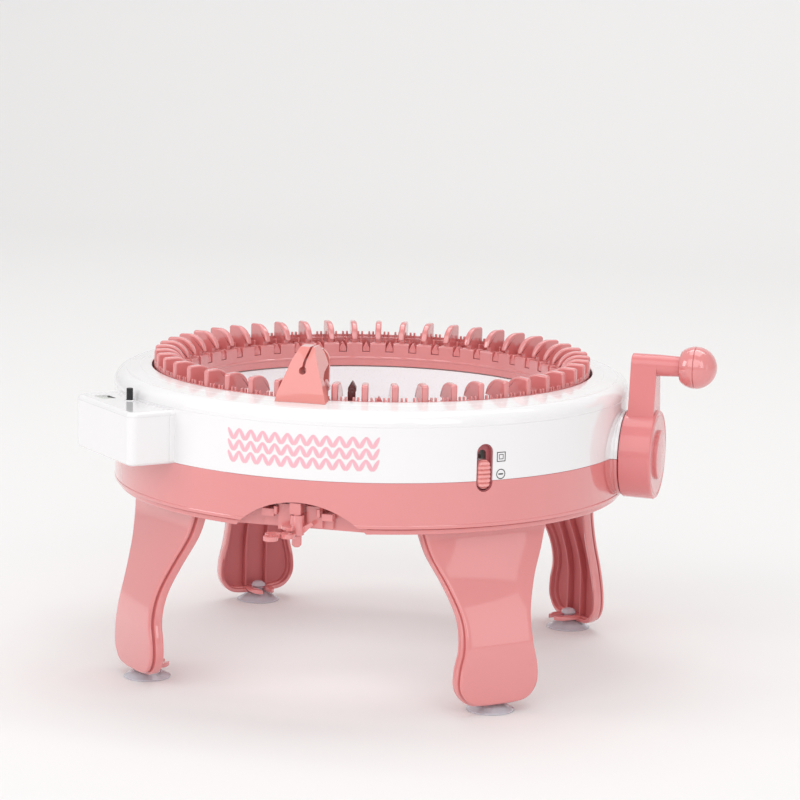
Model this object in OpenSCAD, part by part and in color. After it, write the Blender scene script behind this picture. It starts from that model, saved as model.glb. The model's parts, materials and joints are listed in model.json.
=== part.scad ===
// Hand-cranked circular knitting machine: 48 needles stand in a turning ring inside a
// two-part drum housing, on four hourglass legs with suction feet.
// The origin is on the table, on the ring's axis. +X runs along the crank's axis, -Y is
// the front, with the yarn feeder and the tension guide, and +Z is up. Millimetres.

/* [Housing] */
// Outer radius of the drum
body_r = 167; // [166:0.5:168]
// Wall thickness of the housing shells
wall = 2.6; // [2.2:0.2:3]
// Height of the joint between the two housing shells, and of the crank's axis
seam_z = 145.6; // [145:0.1:146]
// Height of the deck at the edge of its hole
deck_z = 191; // [190:0.5:192]
// Radius of the hole in the deck
deck_hole_r = 142.9; // [142.5:0.1:143.5]
// Height of the drum's underside
base_z = 113.4; // [113:0.1:114]

/* [Needle ring] */
// Number of needles
needle_count = 48; // [48]
// Inner radius of the ring that carries the fins
fin_ring_r = 122.5; // [122:0.1:122.8]
// Height of the fins' tops
fin_top_z = 201; // [199:0.5:201.5]
// Full travel of a needle
needle_stroke = 14; // [10:0.5:14]

/* [Gears] */
// Teeth on the crown gear under the ring
ring_teeth = 150; // [150]
// Teeth on the crank's pinion
pinion_teeth = 12; // [12]
// Tooth module
gear_module = 2; // [2]

/* [Crank] */
// Radius of the crank's hub
hub_r = 28.5; // [27:0.5:29]
// Height of the handle's axis above the crank's axis
crank_throw = 57.4; // [54:0.2:60]
// Radius of the ball knob
knob_r = 13.5; // [12:0.1:14]

/* [Legs] */
// Radial distance of a leg's outer face at the foot
foot_n = 170; // [168:0.5:172]
// Radius of a suction cup's rim
cup_r = 15; // [14:0.5:16]

/* [Hidden] */
$fn = 96;
eps = 0.01;
far = 400;
pink = "#e29a98";
white = "#f6f4f6";
clear_pvc = "#dfe2ee";
steel = "#b9bcc0";

// Housing
shoulder_r = 8.3;
deck_fall = 9;
wall_top_z = deck_z - 10.8;
shoulder_c = [body_r - shoulder_r, wall_top_z];
deck_rim = 2.2;
deck_rim_h = 7;
band_foot_z = base_z + 3.8;
flange_r = body_r - 3.4;
arch_r = 55.5;
arch_x = 2.4;
arch_z = 76;
recess_y = -152.6;
boss_n = 159.6;
boss_r = 3.6;
boss_h = 11.4;
boss_web = 1.5;
boss_azimuths = [for (k = [0:7]) 22.5 + 45 * k];
screw_r = 1.4;
screw_fit = 0.02;
cover_t = 2.4;
floor_z = base_z + cover_t;

// Ring stack
step_a = 360 / needle_count;
fin_a0 = -0.75;
needle_a0 = 3;
fin_base_z = 171.4;
block_z = 187;
slot_z = 181;
slot_w = 5.5;
fin_t = 4.2;
fin_out_r = 141.5;
fin_foot_r = 121.7;
ledge_r = 139.2;
ledge_z = 189;
ring_out_r = 141.3;
ring_screw_n = 137.4;
ring_screw_step = 360 / 6;
fin_edge = 1.2;
fin_arc_r = 12.6;
cyl_in_r = 126.2;
cyl_out_r = 135;
groove_r = 128;
needle_r = 128.2;
needle_t = 2.5;
needle_w = 4.8;
needle_tip_z = 187;
needle_foot_z = 123;
needle_neck_z = 181.5;
butt_r = 139.8;
butt_z = 137;
track_r = 140.3;
cam_out_r = 143;
cam_in_r = 136.2;
cam_ring_z = 155;

// Azimuth index and resting lift of the six needles at the lifting station
lift_index = [34, 35, 36, 37, 38, 39];
cam_rise = needle_stroke - 1;
lift_rest = [0, 6, cam_rise, cam_rise, 4, 0];
cam_top_z = butt_z + cam_rise;

// Gears
ring_pitch_r = gear_module * ring_teeth / 2;
pinion_pitch_r = gear_module * pinion_teeth / 2;
pitch_z = seam_z + pinion_pitch_r;
gear_face = 9;
gear_in_r = ring_pitch_r - 4;
gear_root_z = pitch_z + 1.2 * gear_module;
tooth_tip = 1.4;
tooth_pitch = 2.2;
tooth_root = 3.2;

// Crank
collar_r = 27;
collar_x = 169.2;
shaft_r = 4;
crank_screw_r = 1.8;
neck_r = 6.9;
foot_w = 13.8;
recess_r = 8;
knob_pin_r = 4;
knob_screw_r = 1.3;
knob_room = [209.2, 213.4];
run_gap = 0.05;
hub_x = [169.8, 190.4];
arm_x = [171.9, 188.6];
handle_r = 6.35;
handle_z = seam_z + crank_throw;
knob_x = 212.4;
knob_split_x = 212.4;
knob_end_x = 203.3;
knob_split_a = acos((knob_split_x - knob_x) / knob_r);
knob_end_a = acos((knob_end_x - knob_x) / knob_r);

// Legs
leg_azimuths = [-45, 45, 135, -135];
leg_top_n = 150;
leg_bend_z = 35;
leg_skin = 3;
leg_depth = 9;
leg_screw_n = 143.8;
leg_screw_t = 25;
leg_rib_t = 8;
tab_w = 8.5;
tab_z = [6.4, 9.2];
tab_hole_r = 3.2;
leg_foot_z = 4.8;
leg_heights = concat([3, leg_bend_z], [for (k = [1:10]) leg_bend_z + (base_z - leg_bend_z) * k / 10]);
leg_side = [[10, leg_foot_z], [19, 6.2], [25, 10.5], [28.6, 18], [28.2, 29], [25.2, 43], [25.4, 60],
    [31.5, 79], [40, 97], [45, base_z]];
cup_n = 158.6;

// Yarn feeder
feeder_x = -1.75;
feeder_screw_y = -148.2;
feeder_screw_t = 6;
feeder_web = [-130, -117];
feeder_plate = [-118.3, -116];

// Selector, counter and tension guide
selector_a = -49.65;
selector_w = 8.4;
selector_travel = 9;
knob_z = [140.5, 158.5];
slot_lo_z = knob_z[0] - 1;
slot_hi_z = knob_z[1] + selector_travel + 0.2;
counter_a = 226;
counter_n = 192.4;
counter_half = 40.2;
counter_z = [145, 178.3];
counter_wall = 2.2;
counter_screw_z = 160;
counter_screw_t = 24;
counter_far = 240;
lcd_n = [176.1, 185.3];
lcd_post_t = 29;
door_n = [171.1, 186];
door_t = [7, 29];
board_z = [170.4, 171.8];
button_n = 172;
button_t = -3.8;
button_travel = 1.5;
button_z = [board_z[1] + button_travel + 0.3, counter_z[1] + 7.8];
lcd_t = [-28, -14.4];
pivot = [1.5, -163];
pivot_r = 2.4;
lever_a = 240;
lever_z = [111.2, 113.8];
lever_loops = [[10.5, 3.6], [17, -3.2], [23.4, 2.4]];
guide_screw_x = [-17, 19];
guide_screw_z = 119;
guide_back_y = recess_y - 2;
guide_post_x = [-12.5, 14.4];
guide_post_y = -161.6;
guide_plate_y = recess_y - 2.6;

// ---------- helpers ----------

// Children placed with local x pointing out along an azimuth
module at_az(a, n = 0, z = 0) rotate([0, 0, a]) translate([n, 0, z]) children();

// Ring turned from an outline of [radius, height] points
module lathe(outline) rotate_extrude($fn = 180) polygon(outline);

// Plain ring
module ring(r_in, r_out, z0, z1)
    lathe([[r_in, z0], [r_out, z0], [r_out, z1], [r_in, z1]]);

// Cylinder along +X, from one x to another, on the axis at height z
module rod_x(r, x0, x1, z = seam_z) translate([x0, 0, z]) rotate([0, 90, 0]) cylinder(r = r, h = x1 - x0);

// Box from its low and high corners
module block(lo, hi) translate(lo) cube(hi - lo);

function arc(c, r, a0, a1, n) =
    [for (i = [0:n]) let (a = a0 + (a1 - a0) * i / n) c + r * [cos(a), sin(a)]];
function smoothstep(u) = u <= 0 ? 0 : u >= 1 ? 1 : u * u * (3 - 2 * u);
function reversed(list) = [for (i = [len(list) - 1:-1:0]) list[i]];
function needle_az(k) = needle_a0 + step_a * k;

// Catmull-Rom curve through a list of points
function spline_at(p, i, u) = let (a = p[max(i - 1, 0)], b = p[i], c = p[i + 1],
    d = p[min(i + 2, len(p) - 1)]) 0.5 * (2 * b + (c - a) * u
    + (2 * a - 5 * b + 4 * c - d) * u * u + (3 * b - a - 3 * c + d) * u * u * u);
function spline(p, n) = concat([for (i = [0:len(p) - 2], k = [0:n - 1]) spline_at(p, i, k / n)],
    [p[len(p) - 1]]);

// ---------- housing ----------

// Solid of the drum's outside, which a piece standing on the deck is trimmed by
module drum_outside(grow = 0) translate([0, 0, grow]) lathe(concat(
    [[0, seam_z], [body_r, seam_z]],
    arc(shoulder_c, shoulder_r, 0, 90 - deck_fall, 8),
    [[deck_hole_r - 1, deck_z + 0.15], [0, deck_z + 0.15]]));

module arch(r, y0, y1) intersection() {
    translate([arch_x, y1, arch_z]) rotate([90, 0, 0]) cylinder(r = r, h = y1 - y0);
    block([-60, y0, base_z - 5], [60, y1, seam_z - 4]);
}

// Upright slot with round ends, in the wall at the selector
module selector_slot(w, z0, z1, n0, n1) at_az(selector_a) {
    block([n0, -w / 2, z0 + w / 2], [n1, w / 2, z1 - w / 2]);
    for (z = [z0 + w / 2, z1 - w / 2]) rod_x(w / 2, n0, n1, z);
}

module selector_hole() selector_slot(10.9, slot_lo_z - 0.6, slot_hi_z + 0.6, 155, 175);

module crank_hole() rod_x(10, 150, 180);

module crank_collar(z0, z1) intersection() {
    difference() {
        rod_x(collar_r, 160, collar_x);
        cylinder(r = body_r - wall, h = far);
    }
    block([150, -40, z0], [180, 40, z1]);
}

// Wall, rounded shoulder and falling deck in one shell, with eight screw bosses inside
module upper_housing() color(white) difference() {
    union() {
        lathe(concat(
            [[body_r - wall, seam_z], [body_r, seam_z]],
            arc(shoulder_c, shoulder_r, 0, 90 - deck_fall, 8),
            [[deck_hole_r, deck_z], [deck_hole_r, deck_z - deck_rim_h],
            [deck_hole_r + deck_rim, deck_z - deck_rim_h], [deck_hole_r + deck_rim, deck_z - 3]],
            reversed(arc(shoulder_c, shoulder_r - wall, 0, 90 - deck_fall, 6))));
        crank_collar(seam_z, 190);
        for (a = boss_azimuths) at_az(a) {
            translate([boss_n, 0, seam_z]) cylinder(r = boss_r, h = boss_h);
            block([boss_n, -boss_web, seam_z], [body_r - 1, boss_web, seam_z + boss_h]);
        }
    }
    crank_hole();
    selector_hole();
    for (a = boss_azimuths) at_az(a, boss_n, seam_z - eps) cylinder(r = screw_r, h = 9);
    at_feeder_screws(deck_z - 12) cylinder(r = screw_r + 0.3, h = 20);
    at_az(counter_a) for (t = [-counter_screw_t, counter_screw_t])
        translate([0, t, 0]) rod_x(screw_r + 0.3, 158, 172, counter_screw_z);
}

// Band with the arched recess at the front, the seam's lip and the bosses' lower halves
module base_housing() color(pink) difference() {
    union() {
        lathe([[body_r - wall - 0.5, seam_z], [body_r, seam_z], [body_r - 1, band_foot_z + 1],
            [body_r - 1.6, band_foot_z], [flange_r, band_foot_z], [flange_r, base_z],
            [flange_r - 3, base_z], [flange_r - 3, band_foot_z + 2.4],
            [body_r - wall - 1, band_foot_z + 2.4]]);
        intersection() {
            arch(arch_r + 2.2, -far / 2, recess_y + 2.4);
            block([-60, -far / 2, base_z], [60, recess_y + 2.4, seam_z]);
            union() {
                cylinder(r = flange_r, h = band_foot_z);
                translate([0, 0, band_foot_z]) cylinder(r = body_r - 1.6, h = 30);
            }
        }
        crank_collar(100, seam_z);
        for (a = boss_azimuths) at_az(a) {
            translate([boss_n, 0, base_z]) cylinder(r = boss_r, h = seam_z - base_z);
            block([boss_n, -boss_web, band_foot_z], [body_r - 2, boss_web, seam_z]);
        }
    }
    arch(arch_r, -far / 2, recess_y);
    crank_hole();
    selector_hole();
    for (a = boss_azimuths) at_az(a, boss_n, base_z - eps) {
        cylinder(r = screw_r, h = far);
        cylinder(r = 2.8, h = 2.2);
    }
    guide_screw_holes();
}

// Flat ring that closes the drum from below and carries the legs
module bottom_cover() color(pink) difference() {
    ring(123.4, boss_n + 0.7, base_z, floor_z);
    block([arch_x - 44, -far, base_z - 1], [arch_x + 44, -149.9, floor_z + 1]);
    for (a = boss_azimuths) at_az(a, boss_n, base_z - 1) cylinder(r = boss_r + 0.2, h = 5);
    for (a = leg_azimuths, t = [-leg_screw_t, leg_screw_t])
        rotate([0, 0, a]) translate([leg_screw_n, t, base_z - 1]) cylinder(r = screw_r, h = 5);
}

module housing_screws() color(steel) for (a = boss_azimuths) at_az(a, boss_n, base_z) {
    cylinder(r = screw_r - screw_fit, h = 38);
    difference() {
        cylinder(r = 2.6, h = 2);
        translate([0, 0, -eps]) cylinder(r = 1.1, h = 1.2);
    }
}

module inner_sleeve() color(white) lathe([[123.6, floor_z], [127.4, floor_z], [127.4, floor_z + 1.6],
    [125.6, floor_z + 1.6], [125.6, 170.6], [123.6, 170.6]]);

module bearing_rail() color("#e9e7e2") ring(127.8, cyl_out_r - 0.2, floor_z, 118);

// Track that the needles' butts run in
module cam_ring() color("#ece9ea") difference() {
    lathe([[cam_in_r, floor_z], [cam_out_r, floor_z], [cam_out_r, cam_ring_z], [track_r, cam_ring_z],
        [track_r, butt_z - 0.5], [cam_in_r, butt_z - 0.5]]);
    cam_plate(track_r - 1, track_r + 1.8, 0.2);
}

// Curved plate with a ramp along its top, ahead of the lifting station
module cam_plate(r0, r1, grow) intersection() {
    ring(r0, r1, butt_z - 0.5 + (grow > 0 ? 0 : 0.1), cam_ring_z - 1);
    rotate([0, 0, -90]) rotate([90, 0, 90]) linear_extrude(height = 180) polygon([
        [-55 - grow, butt_z - 1], [-55 - grow, butt_z + 0.6 + grow], [-16, cam_top_z + grow],
        [26, cam_top_z + grow], [52 + grow, butt_z + 0.6 + grow], [52 + grow, butt_z - 1]]);
}

module lift_cam() color("#f3efe6") cam_plate(track_r + 0.05, track_r + 1.6, 0);

// ---------- legs ----------

function leg_n(z) = foot_n - (foot_n - leg_top_n) * smoothstep((z - leg_bend_z) / (base_z - leg_bend_z));

// Slab that follows the splayed outer face, between two depths behind it
module leg_slab(d0, d1) rotate([90, 0, 0]) linear_extrude(height = 110, center = true) polygon(concat(
    [for (z = leg_heights) [leg_n(z) - d0, z]], [for (z = reversed(leg_heights)) [leg_n(z) - d1, z]]));

// Prism of the leg's front outline, moved in from its edge
module leg_prism(inset) let (side = spline(leg_side, 3))
    translate([125, 0, 0]) rotate([90, 0, 90]) linear_extrude(height = 60) polygon(concat(
        [for (p = side) [p[0] - inset, max(p[1], leg_foot_z + inset)]],
        [for (p = reversed(side)) [inset - p[0], max(p[1], leg_foot_z + inset)]]));

module leg() color(pink) difference() {
    union() {
        intersection() {
            leg_slab(0, leg_skin);
            leg_prism(0);
        }
        intersection() {
            leg_slab(leg_skin - 0.1, leg_depth);
            difference() {
                leg_prism(0.9);
                leg_prism(3);
            }
        }
        intersection() {
            leg_slab(leg_skin - 0.1, leg_depth - 1.5);
            union() for (t = [-leg_rib_t, leg_rib_t]) block([120, t - 0.7, 8], [175, t + 0.7, base_z]);
        }
        block([141, -42, base_z - 2.5], [leg_top_n - 1, 42, base_z]);
        block([cup_n - 6, -tab_w, tab_z[0]], [foot_n - 1, tab_w, tab_z[1]]);
    }
    intersection() {
        translate([cup_n, 0, 0]) cylinder(r = cup_r, h = 6.3);
        block([120, -20, 0], [foot_n - leg_skin - 0.1, 20, 6.3]);
    }
    translate([cup_n, 0, 0]) cylinder(r = tab_hole_r, h = 12);
    block([120, -tab_hole_r, 5], [cup_n, tab_hole_r, 12]);
    for (t = [-leg_screw_t, leg_screw_t]) translate([leg_screw_n, t, base_z - 6])
        cylinder(r = screw_r + 0.2, h = 10);
}

module leg_screws() color(steel) for (a = leg_azimuths, t = [-leg_screw_t, leg_screw_t])
    rotate([0, 0, a]) translate([leg_screw_n, t, base_z]) {
        translate([0, 0, -2.5]) cylinder(r = screw_r - screw_fit, h = 9);
        translate([0, 0, -4.3]) cylinder(r = 2.8, h = 1.8);
    }

module suction_cup() color(clear_pvc) translate([cup_n, 0, 0]) rotate_extrude() polygon(concat(
    [[0, 3.6], [6, 3.2], [11, 1.8], [cup_r - 1.6, 0], [cup_r, 0], [cup_r, 0.7], [12, 2.9], [7, 4.9],
    [3, 6.2], [3, 9.4], [4.6, 9.4]], arc([2.6, 11.4], 2, -20, 90, 5), [[0, 13.4]]));

// ---------- yarn feeder ----------

module feeder_outline() rotate([90, 0, 0]) linear_extrude(height = 60, center = true) polygon([
    [-16.4, 186], [-16.2, 189], [-14.8, 195], [-8.2, 213.5], [-5, 221], [-4.4, 222], [4.4, 222], [5, 221],
    [8.2, 213.5], [14.8, 195], [16.2, 189], [16.4, 186]]);

// Front wedge, the web over the fins and the plate behind them, which guides the yarn down
module yarn_feeder() color(pink) difference() {
    translate([feeder_x, 0, 0]) union() {
        intersection() {
            translate([0, -150, 0]) feeder_outline();
            rotate([90, 0, 90]) linear_extrude(height = 40, center = true) polygon(
                [[-151.6, 186], [-151.4, 190], [-150.6, 195.6], [-144.5, 213.5], [-138, 222], [-128, 222],
                [-124, 217], [-124, 210], [-136, 207], [-142.3, 203.5], [-142.3, 186]]);
        }
        block([-4.4, feeder_web[0], 209], [4.4, feeder_web[1], 218.6]);
        intersection() {
            block([-8, feeder_plate[0], 190], [8, feeder_plate[1], 219]);
            translate([0, -110, 0]) rotate([90, 0, 0]) linear_extrude(height = 12) polygon(concat(
                [[-6, 191], [6, 191], [8, 198]], arc([0, 211], 8, 0, 180, 14), [[-8, 198]]));
        }
    }
    drum_outside(0.03);
    translate([-2, -110, 208.5]) rotate([90, 0, 0]) cylinder(r = 2.3, h = 60);
    rotate([90, 0, 0]) translate([0, 0, 122]) linear_extrude(height = 40) polygon(
        [[-2.9, 209], [-1.1, 209], [-0.3, 215], [1.9, 223], [0.5, 223], [-1.9, 215]]);
    at_feeder_screws(180) cylinder(r = screw_r, h = 14.5);
}

module at_feeder_screws(z) for (t = [-feeder_screw_t, feeder_screw_t])
    translate([feeder_x + t, feeder_screw_y, z]) children();

module feeder_screws() color(steel) at_feeder_screws(0) {
    translate([0, 0, 186.6]) cylinder(r = screw_r - screw_fit, h = 7.4);
    translate([0, 0, 185]) cylinder(r = 2.6, h = 1.7);
}

// ---------- tension guide ----------

// Plate in the recess with the yarn's two guide posts and the lever's pivot
module tension_bracket() color(pink) difference() {
    union() {
        block([-21.5, guide_plate_y, 114.5], [22, recess_y - 0.05, 123]);
        block([-10.5, guide_plate_y, 114.5], [16, recess_y - 0.05, 128.1]);
        block([-11.5, -159.6, 113.2], [-3.6, guide_back_y, 128.8]);
        for (x = guide_post_x) translate([x, guide_post_y, 123]) cylinder(r = 1.2, h = 4.4);
        for (x = guide_post_x) block([x - 0.8, guide_post_y, 122.2], [x + 0.8, guide_back_y, 125.8]);
        block([-21.5, -161, 120.9], [-13.9, guide_back_y, 125.4]);
        block([16.4, -161, 120.4], [23, guide_back_y, 124.6]);
        for (x = [6, 14.8]) block([x, -158.2, 115], [x + 1.2, guide_back_y, 128.1]);
        block([6, -158.2, 115], [16, -157, 128.1]);
        block([-2.6, -165.4, 123.8], [4.3, guide_back_y, 130.8]);
        translate([pivot[0], pivot[1], 106]) cylinder(r = pivot_r, h = 22);
    }
    block([-10.2, -158.2, 112], [-4.8, guide_plate_y, 127]);
    guide_screw_holes();
}

module guide_screw_holes(r = screw_r) for (x = guide_screw_x)
    translate([x, recess_y + 3, guide_screw_z]) rotate([90, 0, 0]) cylinder(r = r, h = 5.2);

// Their heads sit inside the drum, behind the recess
module guide_screws() color(steel) for (x = guide_screw_x)
    translate([x, 0, guide_screw_z]) rotate([90, 0, 0]) {
        translate([0, 0, -recess_y - 3.8]) cylinder(r = 2.5, h = 1.4);
        translate([0, 0, -recess_y - 2.5]) cylinder(r = screw_r - screw_fit, h = 4.5);
    }

module tension_cap() color(pink) translate([pivot[0], pivot[1], 0]) difference() {
    union() {
        translate([0, 0, 105]) cylinder(r = 3, h = 5.8);
        translate([0, 0, 103.6]) cylinder(r1 = 1.8, r2 = 3, h = 1.4);
    }
    translate([0, 0, 106]) cylinder(r = pivot_r, h = 5);
}

// The loops reach towards the front left, and the thumb tab rises to the right
module tension_lever() color(pink) translate([pivot[0], pivot[1], 0]) difference() {
    union() {
        translate([0, 0, lever_z[0]]) cylinder(r = 4.3, h = 12.2);
        translate([0, 0, 115]) intersection() {
            cylinder(r = 9.5, h = 2);
            block([-20, -20, -1], [0, -3, 3]);
        }
        rotate([0, 0, lever_a]) {
            block([2, -1.6, lever_z[0]], [23, 1.6, lever_z[1]]);
            for (p = lever_loops) translate([p[0], p[1], lever_z[0]])
                cylinder(r = 4.4, h = lever_z[1] - lever_z[0]);
        }
        rotate([90, 0, 0]) linear_extrude(height = 2.2, center = true)
            polygon([[2, 112.4], [4.6, 112.4], [10.6, 118], [9.2, 119.6], [2, 115]]);
    }
    translate([0, 0, 105]) cylinder(r = pivot_r + run_gap, h = 25);
    rotate([0, 0, lever_a]) for (p = lever_loops)
        translate([p[0], p[1] * 1.3, 100]) cylinder(r = 2, h = 20);
}

// ---------- stitch selector ----------

// Lined slot that the selector knob slides in
module selector_bezel() color(pink) difference() {
    union() {
        at_az(selector_a) block([160.8, -7.5, 137], [162.9, 7.5, 170.2]);
        selector_slot(10.6, slot_lo_z - 0.45, slot_hi_z + 0.45, 162, 166.1);
    }
    selector_slot(9.5, slot_lo_z, slot_hi_z, 162.9, 170);
    at_az(selector_a) {
        block([150, -2.6, 145.5], [163, 2.6, 161.5]);
        rod_x(2.6, 150, 163, 161.5);
    }
}

module selector_knob() color(pink) difference() {
    union() {
        selector_slot(selector_w, knob_z[0], knob_z[1], 163.2, 167.6);
        at_az(selector_a) block([159.2, -2.2, 146], [163.4, 2.2, 152]);
    }
    for (k = [0:5]) at_az(selector_a)
        block([167, -3.4, knob_z[0] + 2.1 + 2.5 * k], [168.4, 3.4, knob_z[0] + 3.3 + 2.5 * k]);
}

module selector_link() color("#e9e7e2") at_az(selector_a) {
    difference() {
        block([157, -6, 141.5], [160.2, 6, 156.5]);
        block([159.2, -2.2, 146], [160.4, 2.2, 152]);
    }
    block([156.2, -2.5, 150], [157, 2.5, 157.6]);
}

// ---------- row counter ----------

module counter_outline(inset) at_az(counter_a) {
    w = counter_half - inset;
    n = counter_n - inset;
    r = 5 - inset / 2;
    linear_extrude(height = far) {
        translate([120, -w + r]) square([n - 120, 2 * (w - r)]);
        translate([120, -w]) square([n - r - 120, 2 * w]);
        for (t = [-1, 1]) translate([n - r, t * (w - r)]) circle(r = r);
    }
}

// Box that fits the drum's round wall, with the display's window and the button's collar
module counter_case() color(white) difference() {
    union() {
        difference() {
            intersection() {
                counter_outline(0);
                ring(body_r + 0.05, counter_far, counter_z[0], counter_z[1]);
            }
            intersection() {
                counter_outline(counter_wall);
                ring(body_r - 1, counter_far, counter_z[0] - 1, counter_z[1] - counter_wall);
            }
        }
        intersection() {
            at_az(counter_a) for (t = [-counter_screw_t, counter_screw_t]) {
                translate([0, t, 0]) rod_x(3.6, 160, 174, counter_screw_z);
                translate([160, t > 0 ? t : -counter_half, counter_screw_z - 1])
                    cube([14, counter_half - counter_screw_t, 2]);
            }
            ring(body_r + 0.05, counter_far, counter_z[0], counter_z[1]);
            counter_outline(counter_wall / 2);
        }
        at_az(counter_a) {
            for (t = [-lcd_post_t, lcd_post_t]) translate([183, t, board_z[1]]) cylinder(r = 2.4, h = 5);
            translate([button_n, button_t, counter_z[1] - 0.5]) cylinder(r = 3.3, h = 1.3);
        }
    }
    at_az(counter_a) {
        for (t = [-counter_screw_t, counter_screw_t])
            translate([0, t, 0]) rod_x(screw_r, 160, 172.5, counter_screw_z);
        translate([button_n, button_t, 174]) cylinder(r = 2.35, h = 40);
        block([lcd_n[0] - 0.1, lcd_t[0] - 0.1, 174], [lcd_n[1] + 0.1, lcd_t[1] + 0.1, 190]);
    }
}

module counter_base() color(white) difference() {
    intersection() {
        counter_outline(counter_wall + 0.1);
        ring(body_r + 0.1, counter_far, counter_z[0], counter_z[0] + 2);
    }
    at_az(counter_a) block([door_n[0] - 0.1, door_t[0] - 0.1, 140],
        [door_n[1] + 0.1, door_t[1] + 0.1, 150]);
}

module battery_door() color(white) at_az(counter_a) {
    block([door_n[0], door_t[0], counter_z[0]], [door_n[1], door_t[1], counter_z[0] + 1.6]);
    block([175, 14, counter_z[0] + 1.6], [177, 22, counter_z[0] + 3]);
}

module counter_lcd() color("#9aa39a") at_az(counter_a)
    block([lcd_n[0], lcd_t[0], 175.2], [lcd_n[1], lcd_t[1], 177.3]);

module counter_board() color("#2f6b4a") at_az(counter_a) difference() {
    block([169.6, -31, board_z[0]], [187, 31, board_z[1]]);
    translate([182, 6, 168]) cylinder(r = 1.2, h = 6);
}

module counter_battery() color(steel) at_az(counter_a)
    translate([180.2, 18, counter_z[0] + 3]) cylinder(r = 5.8, h = 5.4);

module counter_button() color("#201d20") at_az(counter_a) translate([button_n, button_t, button_z[0]]) {
    cylinder(r = 2.05, h = button_z[1] - button_z[0]);
    translate([0, 0, 1]) cylinder(r = 3.2, h = 1.2);
}

module reed_switch() color("#6d8f7d") at_az(counter_a) {
    translate([171.4, -9, board_z[0] - 1.3]) rotate([-90, 0, 0]) cylinder(r = 1.3, h = 18);
}

module counter_screws() color(steel) at_az(counter_a)
    for (t = [-counter_screw_t, counter_screw_t]) translate([0, t, 0]) {
        rod_x(screw_r - screw_fit, 162, 171, counter_screw_z);
        rod_x(2.8, 160.4, 162, counter_screw_z);
    }

// ---------- crank ----------

module crank_bushing() color("#e9e7e2") difference() {
    union() {
        rod_x(9.9, 159, collar_x);
        rod_x(13, 157.2, 159);
    }
    rod_x(shaft_r + run_gap, 150, 175);
}

module crank_shaft() color(steel) difference() {
    rod_x(shaft_r, 145, 178);
    rod_x(crank_screw_r, 169.9, 178 + eps);
}

module drive_pinion() color("#ece9ea") difference() {
    union() {
        rod_x(pinion_pitch_r - 1.2 * gear_module, gear_in_r - 1, 155);
        rod_x(7, 155, 156.9);
        for (k = [0:pinion_teeth - 1]) translate([gear_in_r - 1, 0, seam_z])
            rotate([(k + 0.5) * 360 / pinion_teeth, 0, 0]) rotate([90, 0, 90])
                linear_extrude(height = gear_face + 1) polygon([[-tooth_root / 2, 9], [-tooth_pitch / 2,
                pinion_pitch_r], [-tooth_tip / 2, pinion_pitch_r + gear_module], [tooth_tip / 2,
                pinion_pitch_r + gear_module], [tooth_pitch / 2, pinion_pitch_r], [tooth_root / 2, 9]]);
    }
    rod_x(shaft_r, 140, 160);
}

// Hub, tapering arm and handle stub
module crank_arm() color(pink) difference() {
    union() {
        rod_x(hub_r, hub_x[0], hub_x[1]);
        translate([arm_x[0], 0, 0]) rotate([90, 0, 90]) linear_extrude(height = arm_x[1] - arm_x[0])
            polygon([[-foot_w, seam_z + 20], [-neck_r, handle_z], [neck_r, handle_z],
                [foot_w, seam_z + 20]]);
        rod_x(neck_r, arm_x[0], arm_x[1], handle_z);
        rod_x(handle_r, arm_x[1] - 1, knob_end_x - 0.3, handle_z);
        rod_x(knob_pin_r, 201, knob_room[0], handle_z);
    }
    rod_x(shaft_r, 165, 178);
    rod_x(crank_screw_r + run_gap, 177, 183);
    rod_x(recess_r, 182, 192);
    rod_x(knob_screw_r, 200, 210, handle_z);
}

module crank_screw() color(steel) {
    rod_x(crank_screw_r - eps, 170, 182);
    rod_x(4, 182, 184.6);
}

module crank_cap() color(pink) {
    rod_x(15.8, hub_x[1], hub_x[1] + 2);
    rod_x(recess_r - 0.1, hub_x[1] - 2.6, hub_x[1]);
}

module knob_screw() color(steel) {
    rod_x(knob_screw_r - eps, 201, knob_room[0], handle_z);
    rod_x(6.4, knob_room[0], knob_room[0] + 2.2, handle_z);
}

// Ball between two angles from its outer pole, turned about the handle's axis
module ball(a0, a1) translate([knob_x, 0, handle_z]) rotate([0, 90, 0]) rotate_extrude() polygon(concat(
    [[0, knob_r * cos(a0)]], arc([0, 0], knob_r, 90 - a0, 90 - a1, 10), [[0, knob_r * cos(a1)]]));

module knob_inner_half() color(pink) difference() {
    ball(knob_split_a, knob_end_a);
    rod_x(knob_pin_r + run_gap, 200, 210, handle_z);
    rod_x(7, knob_room[0] - 0.1, knob_split_x + 1, handle_z);
}

module knob_outer_half() color(pink) difference() {
    ball(0, knob_split_a);
    rod_x(7, knob_split_x - 1, knob_room[1], handle_z);
}

// ---------- needle ring ----------

// Grooved bed that holds the 48 needles upright
module needle_cylinder() color("#ece9ea") difference() {
    ring(cyl_in_r, cyl_out_r, 118.1, fin_base_z);
    for (k = [0:needle_count - 1]) at_az(needle_az(k))
        block([groove_r, -needle_w / 2 - 0.3, 110], [140, needle_w / 2 + 0.3, 180]);
}

module fin() rotate([90, 0, 0]) linear_extrude(height = fin_t, center = true) polygon(concat(
    [[ledge_r - 0.1, block_z], [ledge_r - 0.1, ledge_z], [fin_out_r, ledge_z],
    [fin_out_r, fin_top_z - fin_edge], [fin_out_r - fin_edge, fin_top_z]],
    arc([fin_foot_r + fin_arc_r, fin_top_z - fin_arc_r], fin_arc_r, 90, 180, 8),
    [[fin_foot_r + 3, fin_top_z - fin_arc_r], [fin_foot_r + 3, block_z]]));

module fins() color(pink) for (k = [0:needle_count - 1]) at_az(fin_a0 + step_a * k) fin();

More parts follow.
